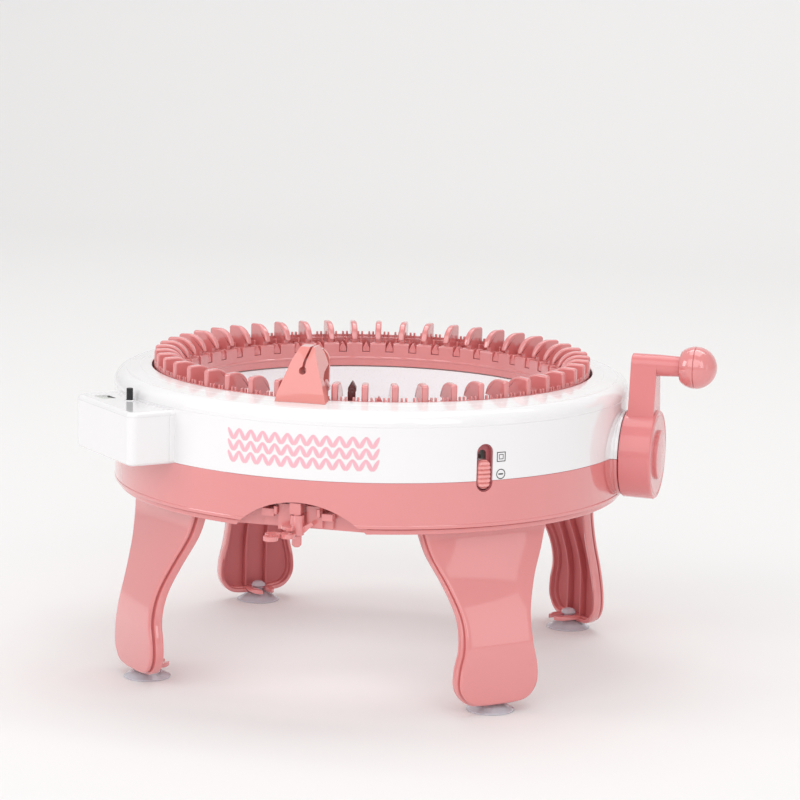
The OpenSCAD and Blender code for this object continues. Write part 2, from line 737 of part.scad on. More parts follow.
module fin_ring() color(pink) {
    difference() {
        lathe([[fin_ring_r, fin_base_z], [ring_out_r, fin_base_z], [ring_out_r, ledge_z], [ledge_r, ledge_z],
            [ledge_r, block_z], [fin_ring_r, block_z]]);
        for (k = [0:needle_count - 1]) at_az(needle_az(k)) {
            block([120, -slot_w / 2, slot_z], [ledge_r - 0.2, slot_w / 2, 195]);
            block([groove_r - 0.2, -slot_w / 2, 160], [131.2, slot_w / 2, 195]);
        }
        ring_screw_holes();
    }
    for (k = [0:needle_count - 1], t = [-3.1, 1.8]) at_az(needle_az(k))
        block([139.4, t, ledge_z - 0.8], [140.9, t + 1.3, 193]);
}

module ring_screw_holes() for (k = [0:5]) at_az(fin_a0 + ring_screw_step * k, ring_screw_n, 150)
    cylinder(r = screw_r, h = 29);

module ring_gear() color("#ece9ea") difference() {
    union() {
        lathe([[cyl_out_r, gear_root_z], [155.2, gear_root_z], [155.2, 164], [140.6, 164],
            [140.6, fin_base_z], [cyl_out_r, fin_base_z]]);
        for (k = [0:ring_teeth - 1]) at_az(360 / ring_teeth * k) crown_tooth();
        at_az(17) block([154.6, -4, gear_root_z], [157.4, 4, 164]);
    }
    ring_screw_holes();
}

// One tooth of the crown gear, hanging from the flange
module crown_tooth() translate([gear_in_r, 0, 0]) rotate([90, 0, 90]) linear_extrude(height = gear_face)
    polygon([[-tooth_root / 2, gear_root_z + 0.4], [-tooth_root / 2, gear_root_z],
    [-tooth_pitch / 2, pitch_z], [-tooth_tip / 2, pitch_z - gear_module],
    [tooth_tip / 2, pitch_z - gear_module], [tooth_pitch / 2, pitch_z], [tooth_root / 2, gear_root_z],
    [tooth_root / 2, gear_root_z + 0.4]]);

module ring_screws() color(steel) for (k = [0:5]) at_az(fin_a0 + ring_screw_step * k, ring_screw_n, 0) {
    translate([0, 0, gear_root_z]) cylinder(r = screw_r - screw_fit, h = 17);
    translate([0, 0, gear_root_z - 1.8]) cylinder(r = 2.2, h = 1.8);
}

module counter_magnet() color(steel) at_az(190, 151.5, 164) cylinder(r = 2.5, h = 2.4);

module needle(k, lift) at_az(needle_az(k)) translate([0, 0, lift]) {
    translate([needle_r, 0, 0]) rotate([90, 0, 90]) linear_extrude(height = needle_t) polygon(
        [[-needle_w / 2, needle_foot_z], [needle_w / 2, needle_foot_z], [needle_w / 2, needle_neck_z],
        [0.7, needle_tip_z - 0.8], [0, needle_tip_z], [-0.7, needle_tip_z - 0.8],
        [-needle_w / 2, needle_neck_z]]);
    block([needle_r + needle_t - 0.5, -2.2, butt_z], [butt_r, 2.2, butt_z + 5]);
    translate([124, 0, 0]) rotate([90, 0, 90]) linear_extrude(height = needle_r - 123.5)
        polygon([[-2.2, slot_z + 0.3], [2.2, slot_z + 0.3], [0.4, needle_tip_z - 0.4],
            [-0.4, needle_tip_z - 0.4]]);
}

module needles() color(pink) for (k = [0:needle_count - 1])
    if (k < lift_index[0] || k > lift_index[5]) needle(k, 0);

module needle_1() color(pink) needle(lift_index[0], lift_rest[0]);
module needle_2() color(pink) needle(lift_index[1], lift_rest[1]);
module needle_3() color(pink) needle(lift_index[2], lift_rest[2]);
module marker_needle() color("#5a2a30") needle(lift_index[3], lift_rest[3]);
module needle_5() color(pink) needle(lift_index[4], lift_rest[4]);
module needle_6() color(pink) needle(lift_index[5], lift_rest[5]);

upper_housing();
base_housing();
bottom_cover();
inner_sleeve();
cam_ring();
lift_cam();
bearing_rail();
housing_screws();
rotate([0, 0, leg_azimuths[0]]) leg();  // leg_front_right
rotate([0, 0, leg_azimuths[1]]) leg();  // leg_back_right
rotate([0, 0, leg_azimuths[2]]) leg();  // leg_back_left
rotate([0, 0, leg_azimuths[3]]) leg();  // leg_front_left
leg_screws();
rotate([0, 0, leg_azimuths[0]]) suction_cup();  // suction_cup_front_right
rotate([0, 0, leg_azimuths[1]]) suction_cup();  // suction_cup_back_right
rotate([0, 0, leg_azimuths[2]]) suction_cup();  // suction_cup_back_left
rotate([0, 0, leg_azimuths[3]]) suction_cup();  // suction_cup_front_left
yarn_feeder();
feeder_screws();
tension_bracket();
guide_screws();
tension_cap();
tension_lever();
selector_bezel();
selector_knob();
selector_link();
counter_case();
counter_base();
battery_door();
counter_lcd();
counter_board();
counter_battery();
counter_button();
reed_switch();
counter_screws();
crank_bushing();
crank_shaft();
drive_pinion();
crank_arm();
crank_screw();
crank_cap();
knob_screw();
knob_inner_half();
knob_outer_half();
needle_cylinder();
fin_ring();
fins();
ring_gear();
ring_screws();
counter_magnet();
needles();
needle_1();
needle_2();
needle_3();
marker_needle();
needle_5();
needle_6();
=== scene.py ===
"""Looks of the circular knitting machine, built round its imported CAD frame.

Lengths are in millimetres in the machine's own frame (origin on the table, on the ring's axis,
+X along the crank's axis, -Y the front, +Z up) and become metres when a mesh is made. The
studio round it is in metres. Angles are in degrees.
"""
import json
import math

import bmesh
import bpy
from mathutils import Matrix, Vector


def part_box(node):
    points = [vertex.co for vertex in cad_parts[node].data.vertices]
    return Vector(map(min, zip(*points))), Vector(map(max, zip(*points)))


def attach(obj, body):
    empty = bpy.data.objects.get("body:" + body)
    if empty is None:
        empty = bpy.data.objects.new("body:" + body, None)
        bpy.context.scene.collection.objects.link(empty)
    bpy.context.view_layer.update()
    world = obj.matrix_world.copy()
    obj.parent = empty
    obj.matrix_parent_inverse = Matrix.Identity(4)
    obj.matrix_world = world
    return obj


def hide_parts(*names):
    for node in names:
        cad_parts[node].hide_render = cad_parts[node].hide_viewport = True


MM = 0.001
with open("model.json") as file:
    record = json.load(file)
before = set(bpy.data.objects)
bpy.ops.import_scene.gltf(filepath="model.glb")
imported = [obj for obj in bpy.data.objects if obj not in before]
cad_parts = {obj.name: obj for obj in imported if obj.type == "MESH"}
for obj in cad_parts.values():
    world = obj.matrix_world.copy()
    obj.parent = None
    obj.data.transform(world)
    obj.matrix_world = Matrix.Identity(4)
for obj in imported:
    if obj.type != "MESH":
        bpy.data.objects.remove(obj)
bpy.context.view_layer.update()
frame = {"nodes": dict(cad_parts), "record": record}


# ---------------------------------------------------------------- sizes
# A name ending in _A is an azimuth, in _R a radius, in _Z a height, in _N a distance from the
# axis along an azimuth. Those that a node's box gives are read from the frame, and the others
# repeat the CAD's sizes.
def low(node):
    """Lower corner of a node's box in millimetres."""
    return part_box(node)[0] / MM


def high(node):
    """Upper corner of a node's box in millimetres."""
    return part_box(node)[1] / MM


# Housing
SEAM_Z = low("upper_housing").z
DECK_Z = high("upper_housing").z
BASE_Z = low("base_housing").z
BODY_R = -low("upper_housing").x
DECK_HOLE_R = 142.9
WALL = 2.6
SHOULDER_R = 8.3
WALL_TOP = DECK_Z - 10.8
DECK_FALL = 9
DRUM_STEPS = 432
TOOL_IN, TOOL_OUT = 150, 180
# Crank's collar and bore in the wall, and the arched hollow in the front of the base
COLLAR_R, COLLAR_X = 27, 169.2
BORE_R = 10
ARCH_R, ARCH_X, ARCH_Z = 55.5, 2.4, 76
# Selector's azimuth, and its slot in the wall: width, bottom and top
SELECTOR_A = -49.65
SELECTOR_SLOT = 10.9, 138.9, 168.3
# Legs and cups
LEG_AZ = {"front_right": -45, "back_right": 45, "back_left": 135, "front_left": -135}
LEG_SIDE = [(0, 4.8), (10, 4.9), (19, 6.2), (25, 10.5), (28.6, 18), (28.2, 29), (25.2, 43),
            (25.4, 60), (31.5, 79), (40, 97), (45, BASE_Z)]
LEG_FOOT_N, LEG_LEAN, LEG_BEND_Z, LEG_CROWN = 170, 20, 35, 1400
RIB_Z = 9.5
CUP_N = 158.6
# Needle ring: throat, slots with their channel for the needles, and blades
RING_Z = low("fin_ring").z
FIN_TOP_Z = high("fins").z
FIN_OUT_R = 141.5
FIN_HALF = 2.1
BLOCK_Z = 187.0
THROAT_R = 122.5
SLOT_Z = 181.0
SLOT_W = 5.5
SLOT_OUT_R = 139.25
CHANNEL_IN_R, CHANNEL_OUT_R = 127.7, 131.3
# Needles: azimuths in degrees, and each raised one's (place in the ring, rise at rest)
NEEDLES = 48
STEP = 360.0 / NEEDLES
FIN_A0 = -0.75
NEEDLE_A0 = 3.0
LIFTS = {"needle_1": (34, 0), "needle_2": (35, 6), "needle_3": (36, 13),
         "marker_needle": (37, 13), "needle_5": (38, 4), "needle_6": (39, 0)}
# Crank: the hub's two ends along X, and the height of the handle's axis
HUB_X0, HUB_X1 = 169.8, 190.4
HANDLE_Z = 203.0
# Row counter: azimuth, front, half-width, bottom and top
COUNTER_A = 226
COUNTER_N = 192.4
COUNTER_HALF = 40.2
COUNTER_Z0, COUNTER_Z1 = 145.0, 178.3
# Printed motif: azimuth and middle height
MOTIF_A, MOTIF_Z = -88.7, 163.2
PRINT_DEPTH = 0.06


# ---------------------------------------------------------------- materials
MAT = {}


def material(name, colour, rough, bump=0.0, grain=900.0, mottle=0.03, coat=0.0, spec=0.5,
             cloud=14.0, coat_rough=0.04, coat_ior=1.5):
    """Moulded plastic: slow colour drift from the melt's flow, fine grain in gloss and relief."""
    m = bpy.data.materials.new(name)
    m.use_nodes = True
    nt = m.node_tree
    bsdf = nt.nodes["Principled BSDF"]
    bsdf.inputs["IOR"].default_value = 1.5
    bsdf.inputs["Specular IOR Level"].default_value = spec
    bsdf.inputs["Coat Weight"].default_value = coat
    bsdf.inputs["Coat Roughness"].default_value = coat_rough
    bsdf.inputs["Coat IOR"].default_value = coat_ior
    coord = nt.nodes.new("ShaderNodeTexCoord")
    drift = nt.nodes.new("ShaderNodeTexNoise")
    drift.inputs["Scale"].default_value = cloud
    drift.inputs["Detail"].default_value = 4.0
    drift.inputs["Roughness"].default_value = 0.55
    nt.links.new(coord.outputs["Object"], drift.inputs["Vector"])
    ramp = nt.nodes.new("ShaderNodeValToRGB")
    ramp.color_ramp.elements[0].position = 0.3
    ramp.color_ramp.elements[1].position = 0.7
    ramp.color_ramp.elements[0].color = [*(c * (1 - mottle) for c in colour), 1]
    ramp.color_ramp.elements[1].color = [*(min(1, c * (1 + mottle)) for c in colour), 1]
    nt.links.new(drift.outputs["Fac"], ramp.inputs["Fac"])
    nt.links.new(ramp.outputs["Color"], bsdf.inputs["Base Color"])
    fine = nt.nodes.new("ShaderNodeTexNoise")
    fine.inputs["Scale"].default_value = grain
    fine.inputs["Detail"].default_value = 3.0
    nt.links.new(coord.outputs["Object"], fine.inputs["Vector"])
    span = nt.nodes.new("ShaderNodeMapRange")
    span.inputs["To Min"].default_value = rough * 0.8
    span.inputs["To Max"].default_value = rough * 1.25
    nt.links.new(fine.outputs["Fac"], span.inputs["Value"])
    nt.links.new(span.outputs["Result"], bsdf.inputs["Roughness"])
    if bump:
        relief = nt.nodes.new("ShaderNodeBump")
        relief.inputs["Strength"].default_value = bump
        relief.inputs["Distance"].default_value = 0.0002
        nt.links.new(fine.outputs["Fac"], relief.inputs["Height"])
        nt.links.new(relief.outputs["Normal"], bsdf.inputs["Normal"])
    MAT[name] = m
    return m


def setting(mat, **values):
    """Sets constant sockets of a material's shader by name, with _ for a space."""
    bsdf = mat.node_tree.nodes["Principled BSDF"]
    for key, value in values.items():
        bsdf.inputs[key.replace("_", " ")].default_value = value


def make_materials():
    """Pinks by moulding, darker pinks painted as the shade of the legs' grooves and the selector's
    recess, whites, blacks, and the few parts of other stuff.
    """
    pink = (0.745, 0.228, 0.226)
    material("pink_shell", pink, 0.2, bump=0.02, mottle=0.02, cloud=9, coat=1.0, coat_ior=1.85)
    material("pink_leg", pink, 0.2, bump=0.02, mottle=0.02, cloud=11, coat=1.0, coat_ior=1.9)
    material("pink_ring", (0.72, 0.225, 0.222), 0.24, bump=0.05, mottle=0.03, cloud=30, coat=1.0,
             coat_rough=0.07, coat_ior=1.85)
    material("pink_needle", (0.72, 0.22, 0.22), 0.25, bump=0.05, mottle=0.03, cloud=60, coat=0.9,
             coat_rough=0.09, coat_ior=1.7)
    material("pink_feeder", (0.79, 0.27, 0.245), 0.22, bump=0.03, mottle=0.02, cloud=30, coat=0.9)
    # Painted shade: a darker pink for the legs' edge grooves and hollow backs.
    material("groove_shade_pink", (0.58, 0.155, 0.16), 0.42, bump=0.08, mottle=0.03, cloud=18)
    material("pink_crank", (0.735, 0.225, 0.23), 0.24, bump=0.03, mottle=0.02, cloud=20, coat=0.7,
             coat_rough=0.05, spec=0.35)
    material("pink_grip", (0.86, 0.36, 0.345), 0.26, bump=0.04, mottle=0.02, cloud=60, coat=0.8)
    # Painted shade: a darker maroon pink for the selector's recessed bezel, so the recess reads as
    # shaded.
    material("recess_shade_pink", (0.47, 0.12, 0.135), 0.3, bump=0.05, mottle=0.04, cloud=60, coat=0.3)
    material("pink_print", (0.87, 0.47, 0.54), 0.3, bump=0.03, mottle=0.015, cloud=80, coat=0.3)
    material("white_shell", (0.87, 0.862, 0.872), 0.16, bump=0.015, mottle=0.006, cloud=8,
             coat=0.9, coat_rough=0.025)
    material("white_liner", (0.92, 0.918, 0.94), 0.28, bump=0.05, mottle=0.01, cloud=20,
             coat=0.3, coat_rough=0.1)
    material("acetal", (0.78, 0.77, 0.74), 0.4, bump=0.06, mottle=0.02, cloud=30)
    material("marker_needle", (0.12, 0.024, 0.028), 0.26, bump=0.05, mottle=0.08, cloud=60,
             coat=0.15)
    material("black_button", (0.012, 0.012, 0.014), 0.3, bump=0.08, mottle=0.1, cloud=90)
    # Black print for the marks; also the display's painted shade line.
    material("dark_print_and_shade", (0.02, 0.017, 0.02), 0.45, mottle=0.05, cloud=90)
    material("lcd_glass", (0.52, 0.55, 0.5), 0.1, mottle=0.03, cloud=60, coat=1.0,
             coat_rough=0.02)
    material("circuit_board", (0.03, 0.16, 0.08), 0.35, bump=0.1, mottle=0.1, cloud=80)
    material("reed_glass", (0.3, 0.42, 0.36), 0.08, mottle=0.03, cloud=60)
    # Zinc-plated steel with a fine grain
    setting(material("steel", (0.56, 0.56, 0.58), 0.28, bump=0.08, grain=1500, mottle=0.06,
                     cloud=120), Metallic=1.0)
    # Soft clear plastic of the suction cups: mostly see-through, slightly milky and lilac
    setting(material("clear_pvc", (0.94, 0.925, 0.99), 0.14, bump=0.1, grain=500, mottle=0.015,
                     cloud=60), Transmission_Weight=0.62, IOR=1.4)


# ---------------------------------------------------------------- mesh helpers
def linked(name, data):
    """A new object in the scene."""
    ob = bpy.data.objects.new(name, data)
    bpy.context.scene.collection.objects.link(ob)
    return ob


def raw(name, verts, faces, place=None):
    """A bare mesh from millimetre points, to dress, join or cut with."""
    mesh = bpy.data.meshes.new(name)
    mesh.from_pydata([Vector(v) * MM for v in verts], [], faces)
    bm = bmesh.new()
    bm.from_mesh(mesh)
    bmesh.ops.remove_doubles(bm, verts=bm.verts, dist=1e-6)
    bmesh.ops.recalc_face_normals(bm, faces=bm.faces)
    if place is not None:
        bm.transform(place)
    bm.to_mesh(mesh)
    bm.free()
    return linked(name, mesh)


def dress(ob, mat, body, replaces=(), sharp=35):
    """Gives a finished mesh its material, smooth shading up to an angle, and its body."""
    ob.data.materials.clear()
    ob.data.materials.append(MAT[mat])
    smooth(ob.data, sharp)
    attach(ob, body)
    if replaces:
        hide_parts(*replaces)
    return ob


def smooth(mesh, sharp):
    """Smooth shading, with edges above an angle kept sharp."""
    mesh.polygons.foreach_set("use_smooth", [True] * len(mesh.polygons))
    mesh.set_sharp_from_angle(angle=math.radians(sharp))
    mesh.update()


def join(obs, name):
    """Joins meshes into one piece."""
    bm = bmesh.new()
    for ob in obs:
        bm.from_mesh(ob.data)
    mesh = bpy.data.meshes.new(name)
    bm.to_mesh(mesh)
    bm.free()
    for ob in obs:
        bpy.data.objects.remove(ob)
    return linked(name, mesh)


def apply(ob):
    """Bakes an object's modifiers into its mesh."""
    bpy.context.view_layer.update()
    graph = bpy.context.evaluated_depsgraph_get()
    mesh = bpy.data.meshes.new_from_object(ob.evaluated_get(graph))
    ob.modifiers.clear()
    ob.data = mesh
    return ob


def cut(ob, tool, how="DIFFERENCE"):
    """Exact boolean of a mesh with a tool, which is then removed."""
    mod = ob.modifiers.new("cut", "BOOLEAN")
    mod.operation = how
    mod.solver = "EXACT"
    mod.object = tool
    apply(ob)
    bpy.data.objects.remove(tool)
    return ob


def bevel(ob, width, segments, angle):
    """Adds a bevel of the edges sharper than an angle."""
    mod = ob.modifiers.new("bevel", "BEVEL")
    mod.width = width * MM
    mod.segments = segments
    mod.limit_method = "ANGLE"
    mod.angle_limit = math.radians(angle)


def weigh(ob):
    """Weighs the shading normals by face area, so that large faces stay flat."""
    mod = ob.modifiers.new("normals", "WEIGHTED_NORMAL")
    mod.keep_sharp = True
    mod.weight = 60


def rect(x0, y0, x1, y1):
    """A rectangle's corners, anticlockwise."""
    return [(x0, y0), (x1, y0), (x1, y1), (x0, y1)]


def rounded(points, radii, steps=5):
    """A closed outline with each corner rounded by its own radius."""
    out = []
    n = len(points)
    for i, p in enumerate(points):
        r = radii[i] if isinstance(radii, (list, tuple)) else radii
        a = Vector(points[i - 1])
        b = Vector(p)
        c = Vector(points[(i + 1) % n])
        u, v = (a - b), (c - b)
        lu, lv = u.length, v.length
        if r <= 0 or lu < 1e-9 or lv < 1e-9:
            out.append(tuple(b))
            continue
        u, v = u / lu, v / lv
        half = 0.5 * math.acos(max(-1, min(1, u.dot(v))))
        if half > math.radians(88):
            out.append(tuple(b))
            continue
        t = min(r / math.tan(half), 0.48 * lu, 0.48 * lv)
        r = t * math.tan(half)
        centre = b + (u + v).normalized() * (r / math.sin(half))
        start, end = b + u * t - centre, b + v * t - centre
        turn = math.atan2(start.x * end.y - start.y * end.x, start.dot(end))
        for k in range(steps + 1):
            ang = turn * k / steps
            co, si = math.cos(ang), math.sin(ang)
            out.append(tuple(centre + Vector((start.x * co - start.y * si,
                                              start.x * si + start.y * co))))
    return out


def inset(outline, d):
    """The outline moved inwards by d, corner by corner. The outline runs anticlockwise."""
    out = []
    n = len(outline)
    for i in range(n):
        a, b, c = (Vector(outline[j % n]) for j in (i - 1, i, i + 1))
        e, f = (b - a), (c - b)
        if e.length < 1e-9 or f.length < 1e-9:
            e = f = (c - a)
        e, f = e.normalized(), f.normalized()
        m = Vector((-(e.y + f.y), e.x + f.x))
        m = m / max(0.35, 0.5 * m.dot(m)) if m.length > 1e-9 else Vector((-e.y, e.x))
        out.append(tuple(b + m * d))
    return out


def anticlockwise(outline):
    """The outline, turned round if it runs clockwise."""
    area = sum(a[0] * b[1] - b[0] * a[1] for a, b in zip(outline, outline[1:] + outline[:1]))
    return outline if area > 0 else outline[::-1]


def edge_steps(r, thick, steps=3):
    """Pairs of (inset, height) up the rounded side of a plate."""
    r = min(r, thick * 0.49)
    if r <= 0:
        return [(0, 0), (0, thick)]
    ups = [(r - r * math.sin(math.pi / 2 * k / steps), r - r * math.cos(math.pi / 2 * k / steps))
           for k in range(steps + 1)]
    return ups + [(i, thick - h) for i, h in reversed(ups)]


def plate_data(outline, z0, z1, r=0.4, steps=3):
    """Vertices and faces of a plate with rounded edges: outline in x, y and thickness in z."""
    outline = anticlockwise(list(outline))
    n = len(outline)
    verts, faces = [], []
    rows = edge_steps(r, z1 - z0, steps)
    for d, h in rows:
        verts += [(x, y, z0 + h) for x, y in inset(outline, d)]
    for k in range(len(rows) - 1):
        for i in range(n):
            j = (i + 1) % n
            faces.append((k * n + i, k * n + j, (k + 1) * n + j, (k + 1) * n + i))
    faces.append(tuple(range(n - 1, -1, -1)))
    faces.append(tuple((len(rows) - 1) * n + i for i in range(n)))
    return verts, faces


def turned(profile, steps=360):
    """A closed profile of (radius, height) turned about Z."""
    n = len(profile)
    verts, faces = [], []
    for k in range(steps):
        a = math.radians(360.0 * k / steps)
        co, si = math.cos(a), math.sin(a)
        verts += [(r * co, r * si, z) for r, z in profile]
    for k in range(steps):
        m = (k + 1) % steps
        for i in range(n):
            j = (i + 1) % n
            faces.append((k * n + i, m * n + i, m * n + j, k * n + j))
    return verts, faces


def box_data(lo, hi):
    """A plain box with sharp edges."""
    verts = [(x, y, z) for x in (lo[0], hi[0]) for y in (lo[1], hi[1]) for z in (lo[2], hi[2])]
    return verts, [(0, 1, 3, 2), (4, 6, 7, 5), (0, 4, 5, 1), (2, 3, 7, 6), (0, 2, 6, 4), (1, 5, 7, 3)]


def soft_box(lo, hi, r=0.4):
    """A box whose upright edges and rims are all rounded."""
    return plate_data(rounded(rect(lo[0], lo[1], hi[0], hi[1]), r, 3), lo[2], hi[2], r, 2)


def shifted(x, y, z):
    """A move in millimetres."""
    return Matrix.Translation(Vector((x, y, z)) * MM)


def about_z(angle, radius=0.0, z=0.0):
    """Places local x along an azimuth, at a radius and height in millimetres."""
    return Matrix.Rotation(math.radians(angle), 4, "Z") @ shifted(radius, 0, z)


# Turns a turned shape's own axis from Z to X
X_AXIS = Matrix.Rotation(math.radians(90), 4, "Y")
# Stands a plate up: outline in (tangent, height), thickness along the radius
STAND = Matrix(((0, 0, 1, 0), (1, 0, 0, 0), (0, 1, 0, 0), (0, 0, 0, 1)))
# Stands a plate up: outline in (radius, height), thickness along the tangent
FIN_WISE = Matrix(((1, 0, 0, 0), (0, 0, -1, 0), (0, 1, 0, 0), (0, 0, 0, 1)))


def arc(cx, cy, r, a0, a1, n):
    """Points of an arc from one angle to another."""
    return [(cx + r * math.cos(math.radians(a0 + (a1 - a0) * k / n)),
             cy + r * math.sin(math.radians(a0 + (a1 - a0) * k / n))) for k in range(n + 1)]


def spline(points, n):
    """Catmull-Rom curve through points."""
    out = []
    for i in range(len(points) - 1):
        a, b = points[max(i - 1, 0)], points[i]
        c, d = points[i + 1], points[min(i + 2, len(points) - 1)]
        for k in range(n):
            u = k / n
            out.append(tuple(
                0.5 * (2 * b[j] + (c[j] - a[j]) * u + (2 * a[j] - 5 * b[j] + 4 * c[j] - d[j]) * u * u
                       + (3 * b[j] - a[j] - 3 * c[j] + d[j]) * u ** 3) for j in range(2)))
    return out + [tuple(points[-1])]


def cad_copy(node, mat, body, width, segments=3):
    """A CAD node's shape with its edges rounded, standing in for the node."""
    ob = linked(node + "_finish", frame["nodes"][node].data.copy())
    bm = bmesh.new()
    bm.from_mesh(ob.data)
    bmesh.ops.remove_doubles(bm, verts=bm.verts, dist=2e-6)
    bmesh.ops.dissolve_limit(bm, angle_limit=math.radians(1.0), verts=bm.verts, edges=bm.edges)
    bm.to_mesh(ob.data)
    bm.free()
    bevel(ob, width, segments, 30)
    apply(ob)
    dress(ob, mat, body, [node], sharp=40)
    weigh(ob)


# ---------------------------------------------------------------- housing
def selector_slot():
    """Tool for the round-ended slot through the wall."""
    w, z0, z1 = SELECTOR_SLOT
    outline = arc(0, z0 + w / 2, w / 2, 180, 360, 16) + arc(0, z1 - w / 2, w / 2, 0, 180, 16)
    return raw("tool", *plate_data(outline, 155, 175, 0), about_z(SELECTOR_A) @ STAND)


def crank_bore():
    """Tool for the crank's bore through the wall."""
    return raw("tool", *turned(rect(0, TOOL_IN, BORE_R, TOOL_OUT), 96), shifted(0, 0, SEAM_Z) @ X_AXIS)


def groove(r, z, width, depth, along):
    """Points of a small round-bottomed groove, met at (r, z) while going along a skin."""
    a = Vector((r, z))
    d = Vector(along).normalized()
    inward = Vector((-d.y, d.x))
    steps = [(-0.5, 0), (-0.34, -0.55), (-0.12, -0.95), (0.12, -0.95), (0.34, -0.55), (0.5, 0)]
    return [tuple(a + d * width * u + inward * depth * -v) for u, v in steps]


def shell_profile():
    """Upper shell from its foot, up the wall, over the shoulder and deck, and back inside."""
    c = BODY_R - SHOULDER_R
    fall = math.tan(math.radians(DECK_FALL))
    outer = [(BODY_R - 0.45, SEAM_Z), (BODY_R - 0.12, SEAM_Z + 0.12), (BODY_R, SEAM_Z + 0.45)]
    outer += groove(BODY_R, WALL_TOP - 0.9, 0.5, 0.22, (0, 1))
    outer += arc(c, WALL_TOP, SHOULDER_R, 0, 90 - DECK_FALL, 14)
    crease = (c + 0.6, WALL_TOP + SHOULDER_R - 0.1)
    outer += groove(crease[0], crease[1], 0.5, 0.22, (-1, fall))
    rim = rounded([(DECK_HOLE_R + 4, DECK_Z - 0.55), (DECK_HOLE_R, DECK_Z), (DECK_HOLE_R, DECK_Z - 7),
                   (DECK_HOLE_R + 2.2, DECK_Z - 7)], [0, 0.9, 0.4, 0.4], 4)
    inner = [(DECK_HOLE_R + 2.2, DECK_Z - 3)]
    inner += arc(c, WALL_TOP, SHOULDER_R - WALL, 90 - DECK_FALL, 0, 8) + [(BODY_R - WALL, SEAM_Z)]
    deck_r = 150.5
    deck_groove = groove(deck_r, DECK_Z - (deck_r - DECK_HOLE_R) * fall * 0.99, 0.4, 0.12, (-1, fall))
    return outer + deck_groove + rim + inner


def collar(z0, z1):
    """The half of the crank's collar that one shell carries, between two heights."""
    r, x = COLLAR_R, COLLAR_X
    profile = rounded([(0, 162), (r, 162), (r, 166.3), (26.6, 166.5), (26.6, 166.9), (r, 167.1), (r, x),
                       (0, x)], [0, 0, 0.1, 0.1, 0.1, 0.1, 0.6, 0], 3)
    tool = raw("tool", *turned(profile, 144), place=shifted(0, 0, SEAM_Z) @ X_AXIS)
    return cut(tool, raw("half", *box_data((TOOL_IN, -40, z0), (TOOL_OUT, 40, z1))), "INTERSECT")


def upper_housing():
    """White upper shell with its half of the collar."""
    ob = raw("upper_housing_shell", *turned(shell_profile(), DRUM_STEPS))
    cut(ob, collar(SEAM_Z + 0.15, 190), "UNION")
    cut(ob, crank_bore())
    cut(ob, selector_slot())
    dress(ob, "white_shell", "stand", ["upper_housing"], 32)
    weigh(ob)


def base_profile():
    """Lower shell: wall, rounded lip, the plain flange under it, and back inside."""
    flange = BODY_R - 3.4
    foot = BASE_Z + 3.8
    lip = [(BODY_R - 0.6, foot + 2.4), (BODY_R - 0.4, foot + 1.9), (BODY_R - 0.6, foot),
           (flange - 1.1, foot), (flange - 1.1, foot - 0.75), (flange, foot - 0.75),
           (flange, BASE_Z), (flange - 3, BASE_Z), (flange - 3, foot + 2.4),
           (BODY_R - 3.6, foot + 2.4)]
    seam = [(BODY_R - WALL - 0.5, SEAM_Z), (BODY_R - 0.45, SEAM_Z), (BODY_R - 0.12, SEAM_Z - 0.12),
            (BODY_R, SEAM_Z - 0.45)]
    return seam + rounded(lip, [0.2, 0.35, 0.5, 0.1, 0.1, 0.45, 0.8, 0.3, 0.5, 0.5], 4)


def arch_tool(r, y0, y1):
    """A rod along Y where the arched hollow lies."""
    place = shifted(ARCH_X, 0, ARCH_Z) @ Matrix.Rotation(math.radians(-90), 4, "X")
    return raw("arch", *turned(rect(0, y0, r, y1), 160), place)


def base_housing():
    """Lower shell with its half of the collar and an arched hollow lined by a thin wall."""
    ob = raw("base_housing_shell", *turned(base_profile(), DRUM_STEPS))
    cut(ob, collar(90, SEAM_Z - 0.15), "UNION")
    liner = arch_tool(ARCH_R + 2.4, -168, -150.2)
    drum = raw("drum", *turned([(0, BASE_Z), (163.4, BASE_Z), (163.4, 117.4), (165.6, 117.5),
                                (165.6, 140), (0, 140)], DRUM_STEPS))
    cut(liner, drum, "INTERSECT")
    cut(ob, liner, "UNION")
    cut(ob, arch_tool(ARCH_R, -180, -152.6))
    cut(ob, crank_bore())
    cut(ob, selector_slot())
    dress(ob, "pink_shell", "stand", ["base_housing"], 32)
    weigh(ob)


def inner_sleeve():
    """The pale liner of the throat, with an outward lip at its foot."""
    z0, z1 = low("inner_sleeve").z, high("inner_sleeve").z
    inner, outer, lip = 123.6, 125.6, 127.4
    profile = rounded([(inner, z0), (lip, z0), (lip, z0 + 1.6), (outer, z0 + 1.6), (outer, z1),
                       (inner, z1)], 0.4, 3)
    dress(raw("inner_sleeve_liner", *turned(profile)), "white_liner", "stand", ["inner_sleeve"])


# ---------------------------------------------------------------- legs and feet
def leg_n(z):
    """Distance of the face's middle line from the axis: upright below, leaning in above."""
    u = max(0.0, min(1.0, (z - LEG_BEND_Z) / (BASE_Z - LEG_BEND_Z)))
    return LEG_FOOT_N - LEG_LEAN * u * u * (3 - 2 * u)


def leg_face(t, z):
    """Distance of the face from the axis: it is slightly crowned across its width."""
    return leg_n(z) - t * t / LEG_CROWN


